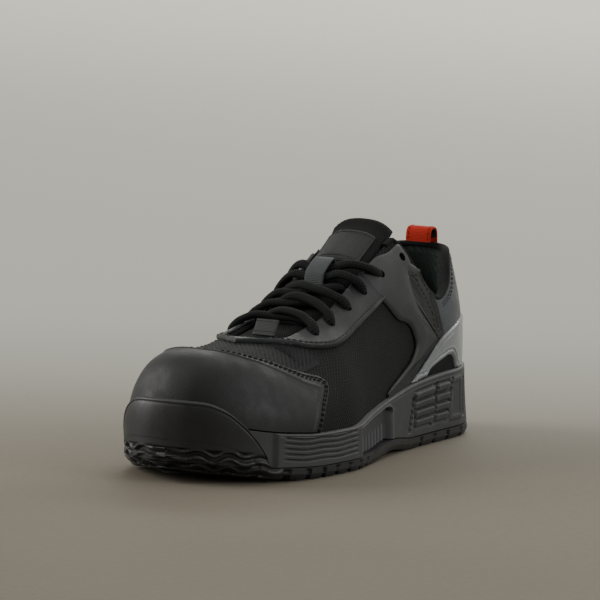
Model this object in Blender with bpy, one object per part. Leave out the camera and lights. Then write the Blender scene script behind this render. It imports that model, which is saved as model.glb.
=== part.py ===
"""Left low-cut safety sneaker, standing empty on its sole.

The toe points along -Y, the outer side faces +X and the floor is z = 0, with the origin under
the middle of the sole's box. A place on the shoe is a side (+1 outer, -1 inner), a station along
the sole (0 at the back of the heel, 1 at the tip of the toe) and a height, or a share of the way
up the upper from its feather edge (0) to the ridge of the instep (1).
"""

import math

import bmesh
import bpy
import numpy as np

# Driving dimensions, in metres
SOLE_LENGTH = 0.302
BALL_WIDTH = 0.112
HEEL_WIDTH = 0.083
TOE_SWING = 0.008        # the toe's tip lies this far towards the inner side
TOE_SPRING = 0.013       # the sole's tip above the floor
ARCH_RISE = 0.003        # the waist's underside above the floor
HEEL_LIP = 0.036         # floor to the top of the midsole's wall at the heel
BALL_LIP = 0.0245        # and at the ball
HEEL_BED = 0.026         # floor to the foot bed at the heel
BALL_BED = 0.0155        # and at the ball
BUMPER_TOP = 0.046       # floor to the top of the rubber bumper at the toe
INSTEP_HEIGHT = 0.126    # floor to the ridge of the instep at the top eyelets
TOE_HEIGHT = 0.070       # floor to the top of the upper over the toes
HEEL_HEIGHT = 0.1085     # floor to the collar at the back
ANKLE_DIP = 0.083        # floor to the collar at its lowest
THROAT_WIDTH = 0.040     # between the eyestay's edges at the top eyelets
EYELET_MARGIN = 0.0062   # from the eyestay's edge to the middle of an eyelet

# Walls, layers and clearances
UPPER_WALL = 0.0022
OVERLAY = 0.0013
GAP = 0.0003             # left between pieces that touch
OUTSOLE = 0.0065         # tread and base together
LUG = 0.0032             # the depth of the tread
LIP_WALL = 0.0035        # the midsole's wall beside the upper
BUMPER_WALL = 0.0024     # the bumper at its top edge
INSOLE = 0.0045
COLLAR_PAD = 0.0065
TONGUE_PAD = 0.0055
LACE = 0.0046            # the diameter of the round lace
EYELET = 0.0052          # the diameter of an eyelet
WEBBING = 0.0013
LOOP_WIDTH = 0.016       # the heel's pull loop
LOOP_HEIGHT = 0.0085
LOOP_DEPTH = 0.008
LABEL_WIDTH = 0.032
TAG_WIDTH = 0.014
TAG_HEIGHT = 0.010
KEEPER_WIDTH = 0.012

# Places along the shoe, as shares of the sole's length from the heel
ANKLE = 0.17             # the upright axis that the heel's wall turns round
DOME = 0.865             # the upright axis that the toe's wall turns round
HEEL_ROUND = 0.15        # the heel's end is rounded up to here
TOE_ROUND = 0.755        # and the toe's from here
THROAT_FRONT = 0.742
THROAT_ROUND = 0.055
BUMPER_BACK = 0.885
STAY_FRONT = 0.770
LINING_FRONT = 0.290
INNER_SHIFT = 0.050      # how much further forward the inner side's collar rises
TONGUE_TOP = 0.297
TONGUE_END = 0.790
LABEL_SPAN = (0.345, 0.420)
EYELETS = (0.640, 0.583, 0.525, 0.467, 0.407, 0.330)
STAY_EYELETS = 4         # the others are in the saddles
TOE_TREAD = (0.60, 0.93)
HEEL_TREAD = (0.07, 0.30)
RIB_BACK = 0.640
PAD_COLUMNS = ((0.185, 0.243), (0.252, 0.330))
POCKET = (0.445, 0.620, 0.86)            # back, front, and its top as a share of the wall

# Detail of the sole, and shares of the midsole's wall
SOLE_CHAMFER = 0.0008
TREAD_INSET = 0.0022
TOE_ROLL = 0.0050        # the tread rolls up this far over the toe's edge
TOE_ROLL_DEPTH = 0.0090  # from this far in
FLARE_INSET = 0.0012
GROOVE = 0.0032
GROOVE_WAVE = 0.0035
TOE_GROOVES = 9
HEEL_GROOVES = 5
POCKET_DEPTH = 0.0035
PAD_ROWS = 4
PAD_SPAN = (0.17, 0.85)
PAD_SEAM = 0.03
PAD_STEP = 0.0016
RIBS = 5
RIB_SPAN = (0.22, 0.86)
RIB_HALF = 0.035
RIB_CUT = 0.0009
SEAM = 0.004             # between two overlays, as a share of the sole's length
EDGE_SHARE = 0.012       # an overlay stops this share short of the collar's edge
STRAND_POINTS = 11
LACE_CLEAR = 5 * GAP + OVERLAY + LACE / 2      # from the upper to a strand's middle
LACE_SINK = LACE - 2 * GAP   # how much lower a strand lies on the tongue
LACE_SHORT = 0.022       # a strand ends this share of the sole's length in front of its eyelet
KEEPER = (0.447, 0.4955)  # the ends of the strap that holds the laces
KEEPER_LEG = 0.0012
TAG_STATION = 0.690
TAG_OFFSET = 0.003
TAG_LEAN = 0.6
LOOP_LEG = 0.008         # how far the pull loop reaches down the heel
COLLAR_DEPTH = 0.30      # the padded lining's depth, as a share of the way up the upper

# The sole's outline: station, the width that the row follows, and its outer and inner shares
SOLE_PLAN = (
    (0.00, HEEL_WIDTH, 0.49, 0.50),
    (0.14, HEEL_WIDTH, 0.50, 0.50),
    (0.30, HEEL_WIDTH, 0.51, 0.46),
    (0.42, HEEL_WIDTH, 0.55, 0.44),
    (0.54, BALL_WIDTH, 0.455, 0.375),
    (0.66, BALL_WIDTH, 0.515, 0.465),
    (0.76, BALL_WIDTH, 0.510, 0.480),
    (0.88, BALL_WIDTH, 0.490, 0.470),
    (1.00, BALL_WIDTH, 0.480, 0.465),
)
# The sole's heights: station, underside, top of the midsole's wall, foot bed
SOLE_HEIGHTS = (
    (0.00, 0.18 * TOE_SPRING, 1.14 * HEEL_LIP, 1.02 * HEEL_BED),
    (0.06, 0.00 * TOE_SPRING, 1.12 * HEEL_LIP, 1.01 * HEEL_BED),
    (0.20, 0.00 * TOE_SPRING, 1.11 * HEEL_LIP, 1.00 * HEEL_BED),
    (0.33, 0.00 * TOE_SPRING, 1.04 * HEEL_LIP, 0.95 * HEEL_BED),
    (0.44, 1.00 * ARCH_RISE, 0.92 * HEEL_LIP, 0.80 * HEEL_BED),
    (0.55, 0.00 * TOE_SPRING, 1.16 * BALL_LIP, 1.08 * BALL_BED),
    (0.66, 0.00 * TOE_SPRING, 1.00 * BALL_LIP, 1.00 * BALL_BED),
    (0.73, 0.00 * TOE_SPRING, 1.00 * BALL_LIP, 1.00 * BALL_BED),
    (0.86, 0.12 * TOE_SPRING, 1.10 * BALL_LIP, 1.15 * BALL_BED),
    (1.00, 0.45 * TOE_SPRING, 1.40 * BALL_LIP, 1.55 * BALL_BED),
)
# The upper's sections: station, height of the ridge, squareness of the section, outward swell,
# and the feather edge's inset from the sole's outline
UPPER_SECTIONS = (
    (0.00, 1.10 * INSTEP_HEIGHT, 2.50, 0.025 * HEEL_WIDTH, 0.045 * HEEL_WIDTH),
    (0.07, 1.11 * INSTEP_HEIGHT, 2.25, 0.015 * HEEL_WIDTH, 0.085 * HEEL_WIDTH),
    (0.17, 1.12 * INSTEP_HEIGHT, 2.05, 0.025 * HEEL_WIDTH, 0.062 * HEEL_WIDTH),
    (0.25, 1.10 * INSTEP_HEIGHT, 2.4, 0.010 * HEEL_WIDTH, 0.055 * HEEL_WIDTH),
    (0.325, 1.015 * INSTEP_HEIGHT, 2.7, 0.005 * HEEL_WIDTH, 0.060 * HEEL_WIDTH),
    (0.40, 0.91 * INSTEP_HEIGHT, 2.65, 0.000 * HEEL_WIDTH, 0.065 * HEEL_WIDTH),
    (0.50, 0.76 * INSTEP_HEIGHT, 2.65, 0.000 * HEEL_WIDTH, 0.055 * BALL_WIDTH),
    (0.60, 0.635 * INSTEP_HEIGHT, 2.55, 0.006 * BALL_WIDTH, 0.050 * BALL_WIDTH),
    (0.68, 1.075 * TOE_HEIGHT, 2.3, 0.012 * BALL_WIDTH, 0.050 * BALL_WIDTH),
    (0.75, 1.01 * TOE_HEIGHT, 2.3, 0.014 * BALL_WIDTH, 0.050 * BALL_WIDTH),
    (0.82, 0.985 * TOE_HEIGHT, 2.5, 0.012 * BALL_WIDTH, 0.048 * BALL_WIDTH),
    (0.87, 0.98 * TOE_HEIGHT, 2.7, 0.008 * BALL_WIDTH, 0.046 * BALL_WIDTH),
    (1.00, 0.98 * TOE_HEIGHT, 2.8, 0.000 * BALL_WIDTH, 0.046 * BALL_WIDTH),
)
# The collar's edge: station, height
COLLAR = (
    (0.00, 1.00 * HEEL_HEIGHT),
    (0.04, 0.985 * HEEL_HEIGHT),
    (0.09, 0.93 * HEEL_HEIGHT),
    (0.15, 1.06 * ANKLE_DIP),
    (0.20, 1.00 * ANKLE_DIP),
    (0.24, 1.07 * ANKLE_DIP),
    (0.285, 1.25 * ANKLE_DIP),
    (0.33, 1.48 * ANKLE_DIP),
    (1.00, 3.00 * ANKLE_DIP),
)
# The throat's half width on the outer and the inner side: station, shares of THROAT_WIDTH
THROAT = (
    (0.00, 0.60, 0.54),
    (0.32, 0.54, 0.50),
    (0.46, 0.50, 0.52),
    (0.60, 0.48, 0.50),
    (1.00, 0.46, 0.46),
)
# The toe cap's rear edge: share of the way up the upper, station
CAP_EDGE = (
    (0.00, 0.770),
    (0.20, 0.740),
    (0.36, 0.703),
    (0.42, 0.715),
    (0.50, 0.758),
    (0.65, 0.812),
    (0.81, 0.850),
    (1.00, 0.865),
)
# The eyestay's outer edge: station, share of the way up the upper
STAY_EDGE = (
    (0.30, 0.44),
    (0.417, 0.455),
    (0.542, 0.515),
    (0.623, 0.562),
    (0.684, 0.649),
    (0.715, 0.760),
    (0.745, 0.880),
    (STAY_FRONT, 1.0),
)
# The saddle on each side: share of the way up, rear station, front station
SADDLE = (
    (0.060, 0.240, 0.450),
    (0.075, 0.240, 0.420),
    (0.090, 0.240, 0.350),
    (0.140, 0.240, 0.316),
    (0.190, 0.220, 0.326),
    (0.224, 0.222, 0.338),
    (0.300, 0.275, 0.383),
    (0.440, 0.300, 0.419),
    (0.550, 0.290, 0.438),
    (0.640, 0.285, 0.445),
    (1.000, 0.285, 0.447),
)
# The heel counter's top edge: station, height
COUNTER_EDGE = (
    (0.00, 0.635 * HEEL_HEIGHT),
    (0.10, 0.625 * HEEL_HEIGHT),
    (0.20, 0.560 * HEEL_HEIGHT),
    (0.30, 0.395 * HEEL_HEIGHT),
    (0.37, 0.305 * HEEL_HEIGHT),
)
# The arched window in each side of the counter: share of the way up, rear station, front station
WINDOW = (
    (0.000, 0.136, 0.300),
    (0.064, 0.138, 0.258),
    (0.082, 0.142, 0.232),
    (0.105, 0.150, 0.204),
    (0.122, 0.162, 0.180),
)
# The lace's crossings: the eyelet that both strands start at, the one whose edge they end under
# on the other side, and the station where they cross the middle
LACING = (
    (0, 1, 0.611),
    (1, 2, 0.558),
    (2, 3, 0.530),
)
# The strands that run through the keeper: the eyelets that they join, where they cross the middle
BANDS = (
    (3, 0.484),
    (4, 0.463),
)
# The tongue: station, half width as a share of THROAT_WIDTH, how far its sides keep the fall
TONGUE_PLAN = (
    (0.000, 0.52, 0.72),
    (0.297, 0.52, 0.72),
    (0.365, 0.54, 1.00),
    (0.400, 0.64, 1.00),
    (0.650, 0.62, 1.00),
    (1.000, 0.55, 1.00),
)


def along(table, column, station):
    """A smooth curve, with no overshoot, through one column of a table of stations."""
    x = np.array([row[0] for row in table], float)
    y = np.array([row[column] for row in table], float)
    step = np.diff(x)
    slope = np.diff(y) / step
    product = slope[:-1] * slope[1:]
    total = np.where(product > 0, slope[:-1] + slope[1:], 1.0)
    inner = np.where(product > 0, 2 * product / total, 0.0)
    tangent = np.concatenate([slope[:1], inner, slope[-1:]])
    at = np.clip(np.asarray(station, float), x[0], x[-1])
    i = np.clip(np.searchsorted(x, at, side="right") - 1, 0, len(step) - 1)
    f = (at - x[i]) / step[i]
    return (
        y[i] * (1 + 2 * f) * (1 - f) ** 2
        + tangent[i] * step[i] * f * (1 - f) ** 2
        + y[i + 1] * f**2 * (3 - 2 * f)
        + tangent[i + 1] * step[i] * f**2 * (f - 1)
    )


def eased(low, high, value):
    """0 below low, 1 above high, and a smooth step between."""
    f = np.clip((np.asarray(value, float) - low) / (high - low), 0, 1)
    return f * f * (3 - 2 * f)


def outline(side, station):
    """The sole's outline in plan, as x and y."""
    station = np.asarray(station, float)
    widths = np.array([[row[0], row[1] * row[2], row[1] * row[3]] for row in SOLE_PLAN])
    half = np.where(side > 0, along(widths, 1, station), along(widths, 2, station))
    heel = np.clip((HEEL_ROUND - station) / HEEL_ROUND, 0, 1)
    toe = np.clip((station - TOE_ROUND) / (1 - TOE_ROUND), 0, 1)
    half = half * (1 - heel**2.3) ** (1 / 2.3) * (1 - toe**2.2) ** (1 / 2.2)
    return axis_x(station) + side * half, SOLE_LENGTH * (0.5 - station)


def axis_x(station):
    """The sole's middle line bends inwards from the ball to the toe."""
    return -TOE_SWING * eased(0.50, 1.05, station)


def outward(side, station):
    """The sole outline's outward normal in plan."""
    turn = np.arccos(np.clip(1 - 2 * np.asarray(station, float), -1, 1)) * side
    ends = []
    for angle in (turn - 0.004, turn + 0.004):
        ends.append(outline(np.where(angle * side >= 0, side, -side)
                            * np.where(np.abs(angle) > math.pi, -1, 1),
                            (1 - np.cos(angle)) / 2))
    x = -(ends[1][1] - ends[0][1])
    y = ends[1][0] - ends[0][0]
    size = np.hypot(x, y)
    return x / size, y / size


def feather(side, station, offset=0.0):
    """The upper's feather edge in plan, moved outwards by offset."""
    x, y = outline(side, station)
    nx, ny = outward(side, station)
    move = offset - along(UPPER_SECTIONS, 4, station)
    return x + nx * move, y + ny * move


def bed_height(station):
    return along(SOLE_HEIGHTS, 3, station)


def lip_height(station):
    return along(SOLE_HEIGHTS, 2, station)


def tread_height(station):
    return along(SOLE_HEIGHTS, 1, station)


def ridge(station, offset=0.0):
    """The ridge of the instep above a station; the heel's and the toe's walls turn round its ends."""
    held = np.clip(station, ANKLE, DOME)
    return (axis_x(held), SOLE_LENGTH * (0.5 - held),
            along(UPPER_SECTIONS, 1, held) + offset)


def upper_point(side, station, share, offset=0.0):
    """The upper's outer surface moved outwards by offset; share runs from feather edge to ridge."""
    side, station, share = np.broadcast_arrays(side, station, np.asarray(share, float))
    foot_x, foot_y = feather(side, station, offset)
    foot_z = bed_height(station) + GAP
    ridge_x, ridge_y, ridge_z = ridge(station, offset)
    power = 2 / along(UPPER_SECTIONS, 2, station)
    angle = share * math.pi / 2
    inward = np.abs(np.cos(angle)) ** power
    rise = np.sin(angle) ** power
    reach = np.maximum(np.hypot(foot_x - ridge_x, foot_y - ridge_y), 1e-6)
    swell = along(UPPER_SECTIONS, 3, station) * np.sin(math.pi * np.clip(rise / 0.7, 0, 1)) ** 2
    spread = inward + swell / reach
    return np.stack([ridge_x + (foot_x - ridge_x) * spread,
                     ridge_y + (foot_y - ridge_y) * spread,
                     foot_z + (ridge_z - foot_z) * rise], axis=-1)


def share_at_height(station, height):
    """How far up the upper a height above the floor lies."""
    foot = bed_height(station) + GAP
    rise = np.clip((height - foot) / (ridge(station)[2] - foot), 0, 1)
    return np.arcsin(rise ** (along(UPPER_SECTIONS, 2, station) / 2)) * 2 / math.pi


def share_at_width(side, station, width):
    """How far up the upper its surface comes within this distance of the ridge in plan."""
    foot_x, foot_y = feather(side, station)
    ridge_x, ridge_y, _ = ridge(station)
    reach = np.hypot(foot_x - ridge_x, foot_y - ridge_y)
    inward = np.clip(width / reach, 0, 1)
    return np.arccos(inward ** (along(UPPER_SECTIONS, 2, station) / 2)) * 2 / math.pi


def throat_width(side, station):
    """Half the throat's width, with a round front end."""
    front = np.clip((station - (THROAT_FRONT - THROAT_ROUND)) / THROAT_ROUND, 0, 1)
    share = np.where(side > 0, along(THROAT, 1, station), along(THROAT, 2, station))
    return THROAT_WIDTH * share * np.sqrt(1 - front**2)


def upper_edge(side, station):
    """How far up the upper its collar or throat cuts it off; 1 where it is closed over the toes."""
    shifted = station - np.where(side < 0, INNER_SHIFT * eased(0.15, 0.33, station), 0)
    collar = share_at_height(station, along(COLLAR, 1, shifted))
    throat = share_at_width(side, station, throat_width(side, station))
    soft = 0.012
    joined = -soft * np.log(np.exp(-collar / soft) + np.exp(-throat / soft))
    return np.where(station >= THROAT_FRONT - 1e-9, 1.0, np.where(station < 0.22, collar, joined))


# The bumper's top edge: station, share of its height at the tip
BUMPER_EDGE = (
    (0.00, 0.0),
    (BUMPER_BACK, 0.0),
    (0.900, 0.22),
    (0.921, 0.48),
    (0.940, 0.67),
    (0.964, 0.88),
    (0.985, 0.98),
    (1.000, 1.0),
)
LEVELS = np.array([0, 0.045, 0.09, 0.18, 0.28, 0.38, 0.48, 0.58, 0.69, 0.84, 1])
BREAKS = (LINING_FRONT, THROAT_FRONT - 0.03, THROAT_FRONT - 0.012, THROAT_FRONT,
          STAY_FRONT, DOME, BUMPER_BACK, 0.900, 0.921, 0.940, 0.964)


def stations(low=0.0, high=1.0, extra=()):
    """Stations from low to high, closer together at the round ends, with the breaks in them."""
    turn = np.linspace(0, 1, 25)
    even = 0.45 * (1 - np.cos(turn * math.pi)) / 2 + 0.55 * turn
    fixed = [b for b in (*BREAKS, *extra, low, high) if low <= b <= high]
    kept = [v for v in even if low < v < high and all(abs(v - b) > 0.01 for b in fixed)]
    return np.array(sorted({*kept, *fixed}))


def loop_of(station):
    """Sides and stations once round the shoe: up the outer side, and back down the inner one."""
    sides = np.concatenate([np.ones(len(station)), -np.ones(len(station) - 2)])
    return sides, np.concatenate([station, station[-2:0:-1]])


def finished_mesh(name, points, faces):
    mesh = bpy.data.meshes.new(name)
    mesh.from_pydata([tuple(map(float, p)) for p in points], [], faces)
    shape = bmesh.new()
    shape.from_mesh(mesh)
    bmesh.ops.remove_doubles(shape, verts=shape.verts, dist=1e-6)
    bmesh.ops.dissolve_degenerate(shape, edges=shape.edges, dist=1e-6)
    bmesh.ops.recalc_face_normals(shape, faces=shape.faces)
    bmesh.ops.triangulate(shape, faces=shape.faces, quad_method="FIXED")
    shape.to_mesh(mesh)
    shape.free()
    mesh.shade_smooth()
    mesh.set_sharp_from_angle(angle=math.radians(40))
    return mesh


def new_object(name, shape, colour, roughness):
    """A named object in the shoe's collection, with its own material."""
    made = bpy.data.objects.new(name, finished_mesh(name, *shape))
    bpy.data.collections["safety_sneaker"].objects.link(made)
    material = bpy.data.materials.new(name)
    material.use_nodes = True
    surface = material.node_tree.nodes["Principled BSDF"]
    surface.inputs["Base Color"].default_value = (*colour, 1)
    surface.inputs["Roughness"].default_value = roughness
    surface.inputs["Metallic"].default_value = 0.0
    made.data.materials.append(material)
    return made


def helper(name, shape):
    """A cutter or a form to join, which is no piece of the shoe."""
    made = bpy.data.objects.new(name, finished_mesh(name, *shape))
    bpy.data.collections["cutters"].objects.link(made)
    made.hide_render = True
    made.display_type = "WIRE"
    return made


def combine(target, other, operation):
    modifier = target.modifiers.new(operation.lower(), "BOOLEAN")
    modifier.operation = operation
    modifier.object = other
    modifier.solver = "EXACT"


def thick_sheet(grids):
    """A closed solid from (outer, inner) grids of points, welded where their outer points meet."""
    number, outer, inner, faces = {}, [], [], []
    for out, back in grids:
        rows, columns = out.shape[:2]
        index = np.zeros((rows, columns), int)
        for r in range(rows):
            for c in range(columns):
                key = tuple(np.round(out[r, c] * 2e4).astype(int))
                if key not in number:
                    number[key] = len(outer)
                    outer.append(out[r, c])
                    inner.append(back[r, c])
                index[r, c] = number[key]
        for r in range(rows - 1):
            for c in range(columns - 1):
                ring = (index[r, c], index[r, c + 1], index[r + 1, c + 1], index[r + 1, c])
                face = [v for k, v in enumerate(ring) if v != ring[k - 1]]
                if len(set(face)) > 2:
                    faces.append(face)
    count = len(outer)
    uses = {}
    for face in faces:
        for k, v in enumerate(face):
            edge = (min(face[k - 1], v), max(face[k - 1], v))
            uses[edge] = uses.get(edge, 0) + 1
    back_faces = [[v + count for v in face[:1] + face[:0:-1]] for face in faces]
    rim = [[a, b, b + count, a + count] for (a, b), times in uses.items() if times == 1]
    return outer + inner, faces + back_faces + rim


def ring_loft(rings):
    """A closed solid through rings that run once round the shoe, closed across at both ends."""
    count = len(rings[0])
    points = [p for ring in rings for p in ring]
    faces = []
    for k in range(len(rings) - 1):
        for j in range(count):
            n = (j + 1) % count
            faces.append([k * count + j, k * count + n, (k + 1) * count + n, (k + 1) * count + j])
    for base in (0, (len(rings) - 1) * count):
        for i in range(count // 2):
            face = [base + i, base + i + 1, base + (count - i - 1) % count,
                    base + (count - i) % count]
            faces.append([v for k, v in enumerate(face) if v != face[k - 1]])
    return points, faces


def joined(shapes):
    """Several closed shapes that don't touch each other, as one mesh."""
    points, faces = [], []
    for shape_points, shape_faces in shapes:
        start = len(points)
        points.extend(shape_points)
        faces.extend([[v + start for v in face] for face in shape_faces])
    return points, faces


def tube(points, radius, sides=6):
    """A round tube with closed ends along a line of points."""
    points = np.asarray(points, float)
    rings, across = [], None
    for i, p in enumerate(points):
        ahead = points[min(i + 1, len(points) - 1)] - points[max(i - 1, 0)]
        ahead /= np.linalg.norm(ahead)
        across = np.cross(ahead, (0, 1, 0.3)) if across is None else across
        across = across - ahead * (across @ ahead)
        across /= np.linalg.norm(across)
        other = np.cross(ahead, across)
        turns = np.arange(sides) * 2 * math.pi / sides
        rings.append([p + radius * (math.cos(a) * across + math.sin(a) * other) for a in turns])
    faces = [list(range(sides)), [(len(rings) - 1) * sides + k for k in range(sides)]]
    for i in range(len(rings) - 1):
        for k in range(sides):
            n = (k + 1) % sides
            faces.append([i * sides + k, i * sides + n, (i + 1) * sides + n, (i + 1) * sides + k])
    return [p for ring in rings for p in ring], faces


def everywhere(share):
    return 0 * share, 0 * share + 1


def layer(station, low, high, inner, outer, span=everywhere, levels=(), sides=(1, -1)):
    """A solid between two offsets of the upper's own surface.

    low and high give its edges as shares of the way up at each station, and span gives its
    rear and front stations at each share. Its rows and columns are the upper's own ones.
    """
    share = np.array(sorted({*LEVELS, *levels}))[:, None]
    grids = []
    for side in sides:
        up = share + 0 * station
        for _ in range(6):
            rear, front = span(up)
            place = np.clip(station, rear, np.maximum(front, rear))
            bottom = low(side, place)
            up = np.clip(share, bottom, np.maximum(high(side, place), bottom))
        grids.append((upper_point(side, place, up, outer), upper_point(side, place, up, inner)))
    return thick_sheet(grids)


def feather_edge(side, station):
    return 0 * station


# The sole

def with_height(xy, height):
    x, y = xy
    return np.stack([x, y, np.broadcast_to(height, x.shape)], axis=-1)


def moved_outline(side, station, offset):
    x, y = outline(side, station)
    nx, ny = outward(side, station)
    return x + nx * offset, y + ny * offset


def upper_at_height(side, station, height, offset):
    """The upper's surface, moved outwards by offset, at a height; below the bed it is the feather."""
    above = height > bed_height(station) + GAP
    share = np.where(above, share_at_height(station, height), 0.0)
    place = upper_point(side, station, share, offset)
    place[..., 2] = height
    return place


def midsole_wall(side, station, share, offset=0.0):
    """The midsole's outer wall, from its underside (0) to the top of its lip (1)."""
    side, station, share = np.broadcast_arrays(side, station, np.asarray(share, float))
    low = tread_height(station) + OUTSOLE + GAP
    height = low + (lip_height(station) - low) * share
    at_lip = upper_at_height(side, station, height, LIP_WALL + offset)
    covered = upper_at_height(side, station, height, GAP + OVERLAY + offset)
    flare = with_height(moved_outline(side, station, offset - FLARE_INSET), height)
    blend = (1 - share[..., None]) ** 1.3
    open_wall = at_lip + (flare - at_lip) * blend
    hidden = eased(BUMPER_BACK - 0.015, BUMPER_BACK, station)[..., None]
    return open_wall + (covered - open_wall) * hidden


def build_midsole():
    side, station = loop_of(stations())
    rings = [midsole_wall(side, station, share) for share in (0.0, 0.4, 0.8, 1.0)]
    lip = share_at_height(station, lip_height(station))
    for level in LEVELS[3::-1]:
        ring = upper_point(side, station, np.minimum(level, lip), GAP)
        if level == 0:
            ring[:, 2] -= GAP
        rings.append(ring)
    return new_object("midsole", ring_loft(rings), (0.045, 0.047, 0.048), 0.55)


def wall_block(side, station, low, high, inside, outside):
    """A block that follows the midsole's wall, for pads that stand out and grooves cut in."""
    across = np.array([low, high])[:, None]
    return thick_sheet([(midsole_wall(side, station[None, :], across, outside),
                         midsole_wall(side, station[None, :], across, inside))])


def arch_pocket(side):
    """The hollow under the waist, open below, with an upright back and a top that falls forwards."""
    back, front, high = POCKET
    station = np.linspace(back, front, 7)
    turn = np.clip((station - back) / (0.2 * (front - back)), 0, 1)
    top = high * (0.80 + 0.20 * np.sqrt(1 - (1 - turn) ** 2))
    share = np.stack([np.full(7, -0.1), top])
    return thick_sheet([(midsole_wall(side, station[None, :], share, 0.004),
                         midsole_wall(side, station[None, :], share, -POCKET_DEPTH))])


def dress_midsole(midsole):
    """Pads at the heel, hollows at the waist and ribs at the ball."""
    pads, cuts = [], []
    rows = np.linspace(*PAD_SPAN, PAD_ROWS + 1)
    for side in (1, -1):
        for back, front in PAD_COLUMNS:
            for low, high in zip(rows[:-1], rows[1:]):
                pads.append(wall_block(side, np.linspace(back, front, 3), low + PAD_SEAM,
                                       high - PAD_SEAM, -PAD_STEP, PAD_STEP))
        for middle in np.linspace(*RIB_SPAN, RIBS):
            cuts.append(wall_block(side, np.linspace(RIB_BACK, BUMPER_BACK - 0.03, 5),
                                   middle - RIB_HALF, middle + RIB_HALF, -RIB_CUT, 0.003))
        cuts.append(arch_pocket(side))
    combine(midsole, helper("midsole_pads", joined(pads)), "UNION")
    combine(midsole, helper("midsole_cuts", joined(cuts)), "DIFFERENCE")


def rolled(station):
    """0 along the shoe, rising to 1 where the tread rolls up round the toe."""
    return eased(BUMPER_BACK - 0.045, BUMPER_BACK + 0.085, station)


def tread_edge(station):
    """The height of the tread's outer edge."""
    return tread_height(station) + LUG + TOE_ROLL * rolled(station)


def tread_ring(side, station):
    """The edge of what the tread stands on, further in where it rolls up round the toe."""
    inset = SOLE_CHAMFER + TREAD_INSET + TOE_ROLL_DEPTH * rolled(station)
    return with_height(moved_outline(side, station, -inset), tread_height(station))


def bumper_height(station):
    """The bumper's top edge, falling to the outsole's top beside the little toe."""
    base = tread_height(station) + OUTSOLE
    return base + (BUMPER_TOP - base) * along(BUMPER_EDGE, 1, station)


def build_outsole():
    """The tread and the bumper that it runs up into over the toe, in one piece."""
    side, station = loop_of(stations())
    base = tread_height(station) + OUTSOLE
    rise = bumper_height(station) - base
    low = np.maximum(base, tread_edge(station) + 0.3 * (bumper_height(station) - base))
    low = np.minimum(low, base + 0.5 * rise)
    edge = np.stack(moved_outline(side, station, -SOLE_CHAMFER), axis=-1)
    middle = tread_ring(side, station)
    middle[:, :2] += 0.6 * (edge - middle[:, :2])
    middle[:, 2] += 0.30 * (tread_edge(station) - middle[:, 2])
    rings = [tread_ring(side, station), middle, with_height(edge.T, tread_edge(station))]
    inside = 3 * GAP + OVERLAY
    for share in (0.0, 0.5, 1.0):
        height = low + (base + rise - low) * share
        ring = upper_at_height(side, station, height, inside + BUMPER_WALL)
        blend = np.where(rise > 1e-6, 0.25 + 0.75 * share**0.8, 0.0)[:, None]
        ring[:, :2] = edge + (ring[:, :2] - edge) * blend
        rings.append(ring)
    for share in (1.0, 0.7, 0.35, 0.0):
        rings.append(upper_at_height(side, station, base + rise * share, inside))
    return new_object("outsole", ring_loft(rings), (0.03, 0.03, 0.031), 0.7)


def tread_grooves():
    """Wavy grooves across the forefoot and straight ones across the heel."""
    cuts = []
    rows = [(s, GROOVE_WAVE) for s in np.linspace(*TOE_TREAD, TOE_GROOVES)]
    rows += [(s, 0.0) for s in np.linspace(*HEEL_TREAD, HEEL_GROOVES)]
    for middle, wave in rows:
        x = np.linspace(-0.62, 0.62, 11 if wave else 2) * BALL_WIDTH
        y = SOLE_LENGTH * (0.5 - middle) + wave * np.sin(x / BALL_WIDTH * 5 * math.pi)
        top = tread_height(0.5 - y / SOLE_LENGTH) + LUG
        shape = []
        for z in (top, np.full(len(x), -LUG)):
            shape.append(np.stack([np.stack([x, y - GROOVE / 2, z], -1),
                                   np.stack([x, y + GROOVE / 2, z], -1)]))
        cuts.append(thick_sheet([tuple(shape)]))
    return joined(cuts)


def build_sole():
    dress_midsole(build_midsole())
    combine(build_outsole(), helper("tread_cuts", tread_grooves()), "DIFFERENCE")


def build_insole():
    side, station = loop_of(stations())
    inside = -UPPER_WALL - GAP
    low = upper_point(side, station, 0.0, inside)
    low[:, 2] = bed_height(station) + GAP
    rings = [low]
    top = share_at_height(station, bed_height(station) + GAP + INSOLE)
    for level in LEVELS[1:3]:
        rings.append(upper_point(side, station, np.minimum(level, top), inside))
    new_object("insole", ring_loft(rings), (0.03, 0.03, 0.03), 0.9)


# The upper and what is fused to it

def above_lip(side, station):
    """The lowest edge of an overlay, just above the midsole's lip or inside the bumper."""
    return share_at_height(station, lip_height(station) + 2 * GAP)


def build_upper():
    shape = layer(stations(), feather_edge, upper_edge, -UPPER_WALL, 0.0)
    upper = new_object("upper", shape, (0.022, 0.022, 0.023), 0.85)
    combine(upper, helper("upper_holes", eyelet_holes(EYELETS)), "DIFFERENCE")


def cap_span(share):
    return along(CAP_EDGE, 1, share), 0 * share + 1


def build_toe_cap():
    shape = layer(stations(0.70, 1.0), above_lip, upper_edge, GAP, GAP + OVERLAY, cap_span,
                  [row[0] for row in CAP_EDGE[:-1]])
    new_object("toe_cap", shape, (0.035, 0.035, 0.036), 0.42)


def eyestay_low(side, station):
    return along(STAY_EDGE, 1, station)


def eyestay_span(share):
    return along(SADDLE, 2, share) + SEAM, 0 * share + STAY_FRONT


def overlay_top(side, station):
    return upper_edge(side, station) - EDGE_SHARE * (station < THROAT_FRONT)


def build_eyestay():
    shape = layer(stations(0.40, STAY_FRONT), eyestay_low, upper_edge, 2 * GAP, 2 * GAP + OVERLAY,
                  eyestay_span)
    eyestay = new_object("eyestay", shape, (0.045, 0.052, 0.05), 0.5)
    combine(eyestay, helper("eyestay_holes", eyelet_holes(EYELETS[:STAY_EYELETS])), "DIFFERENCE")


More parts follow.
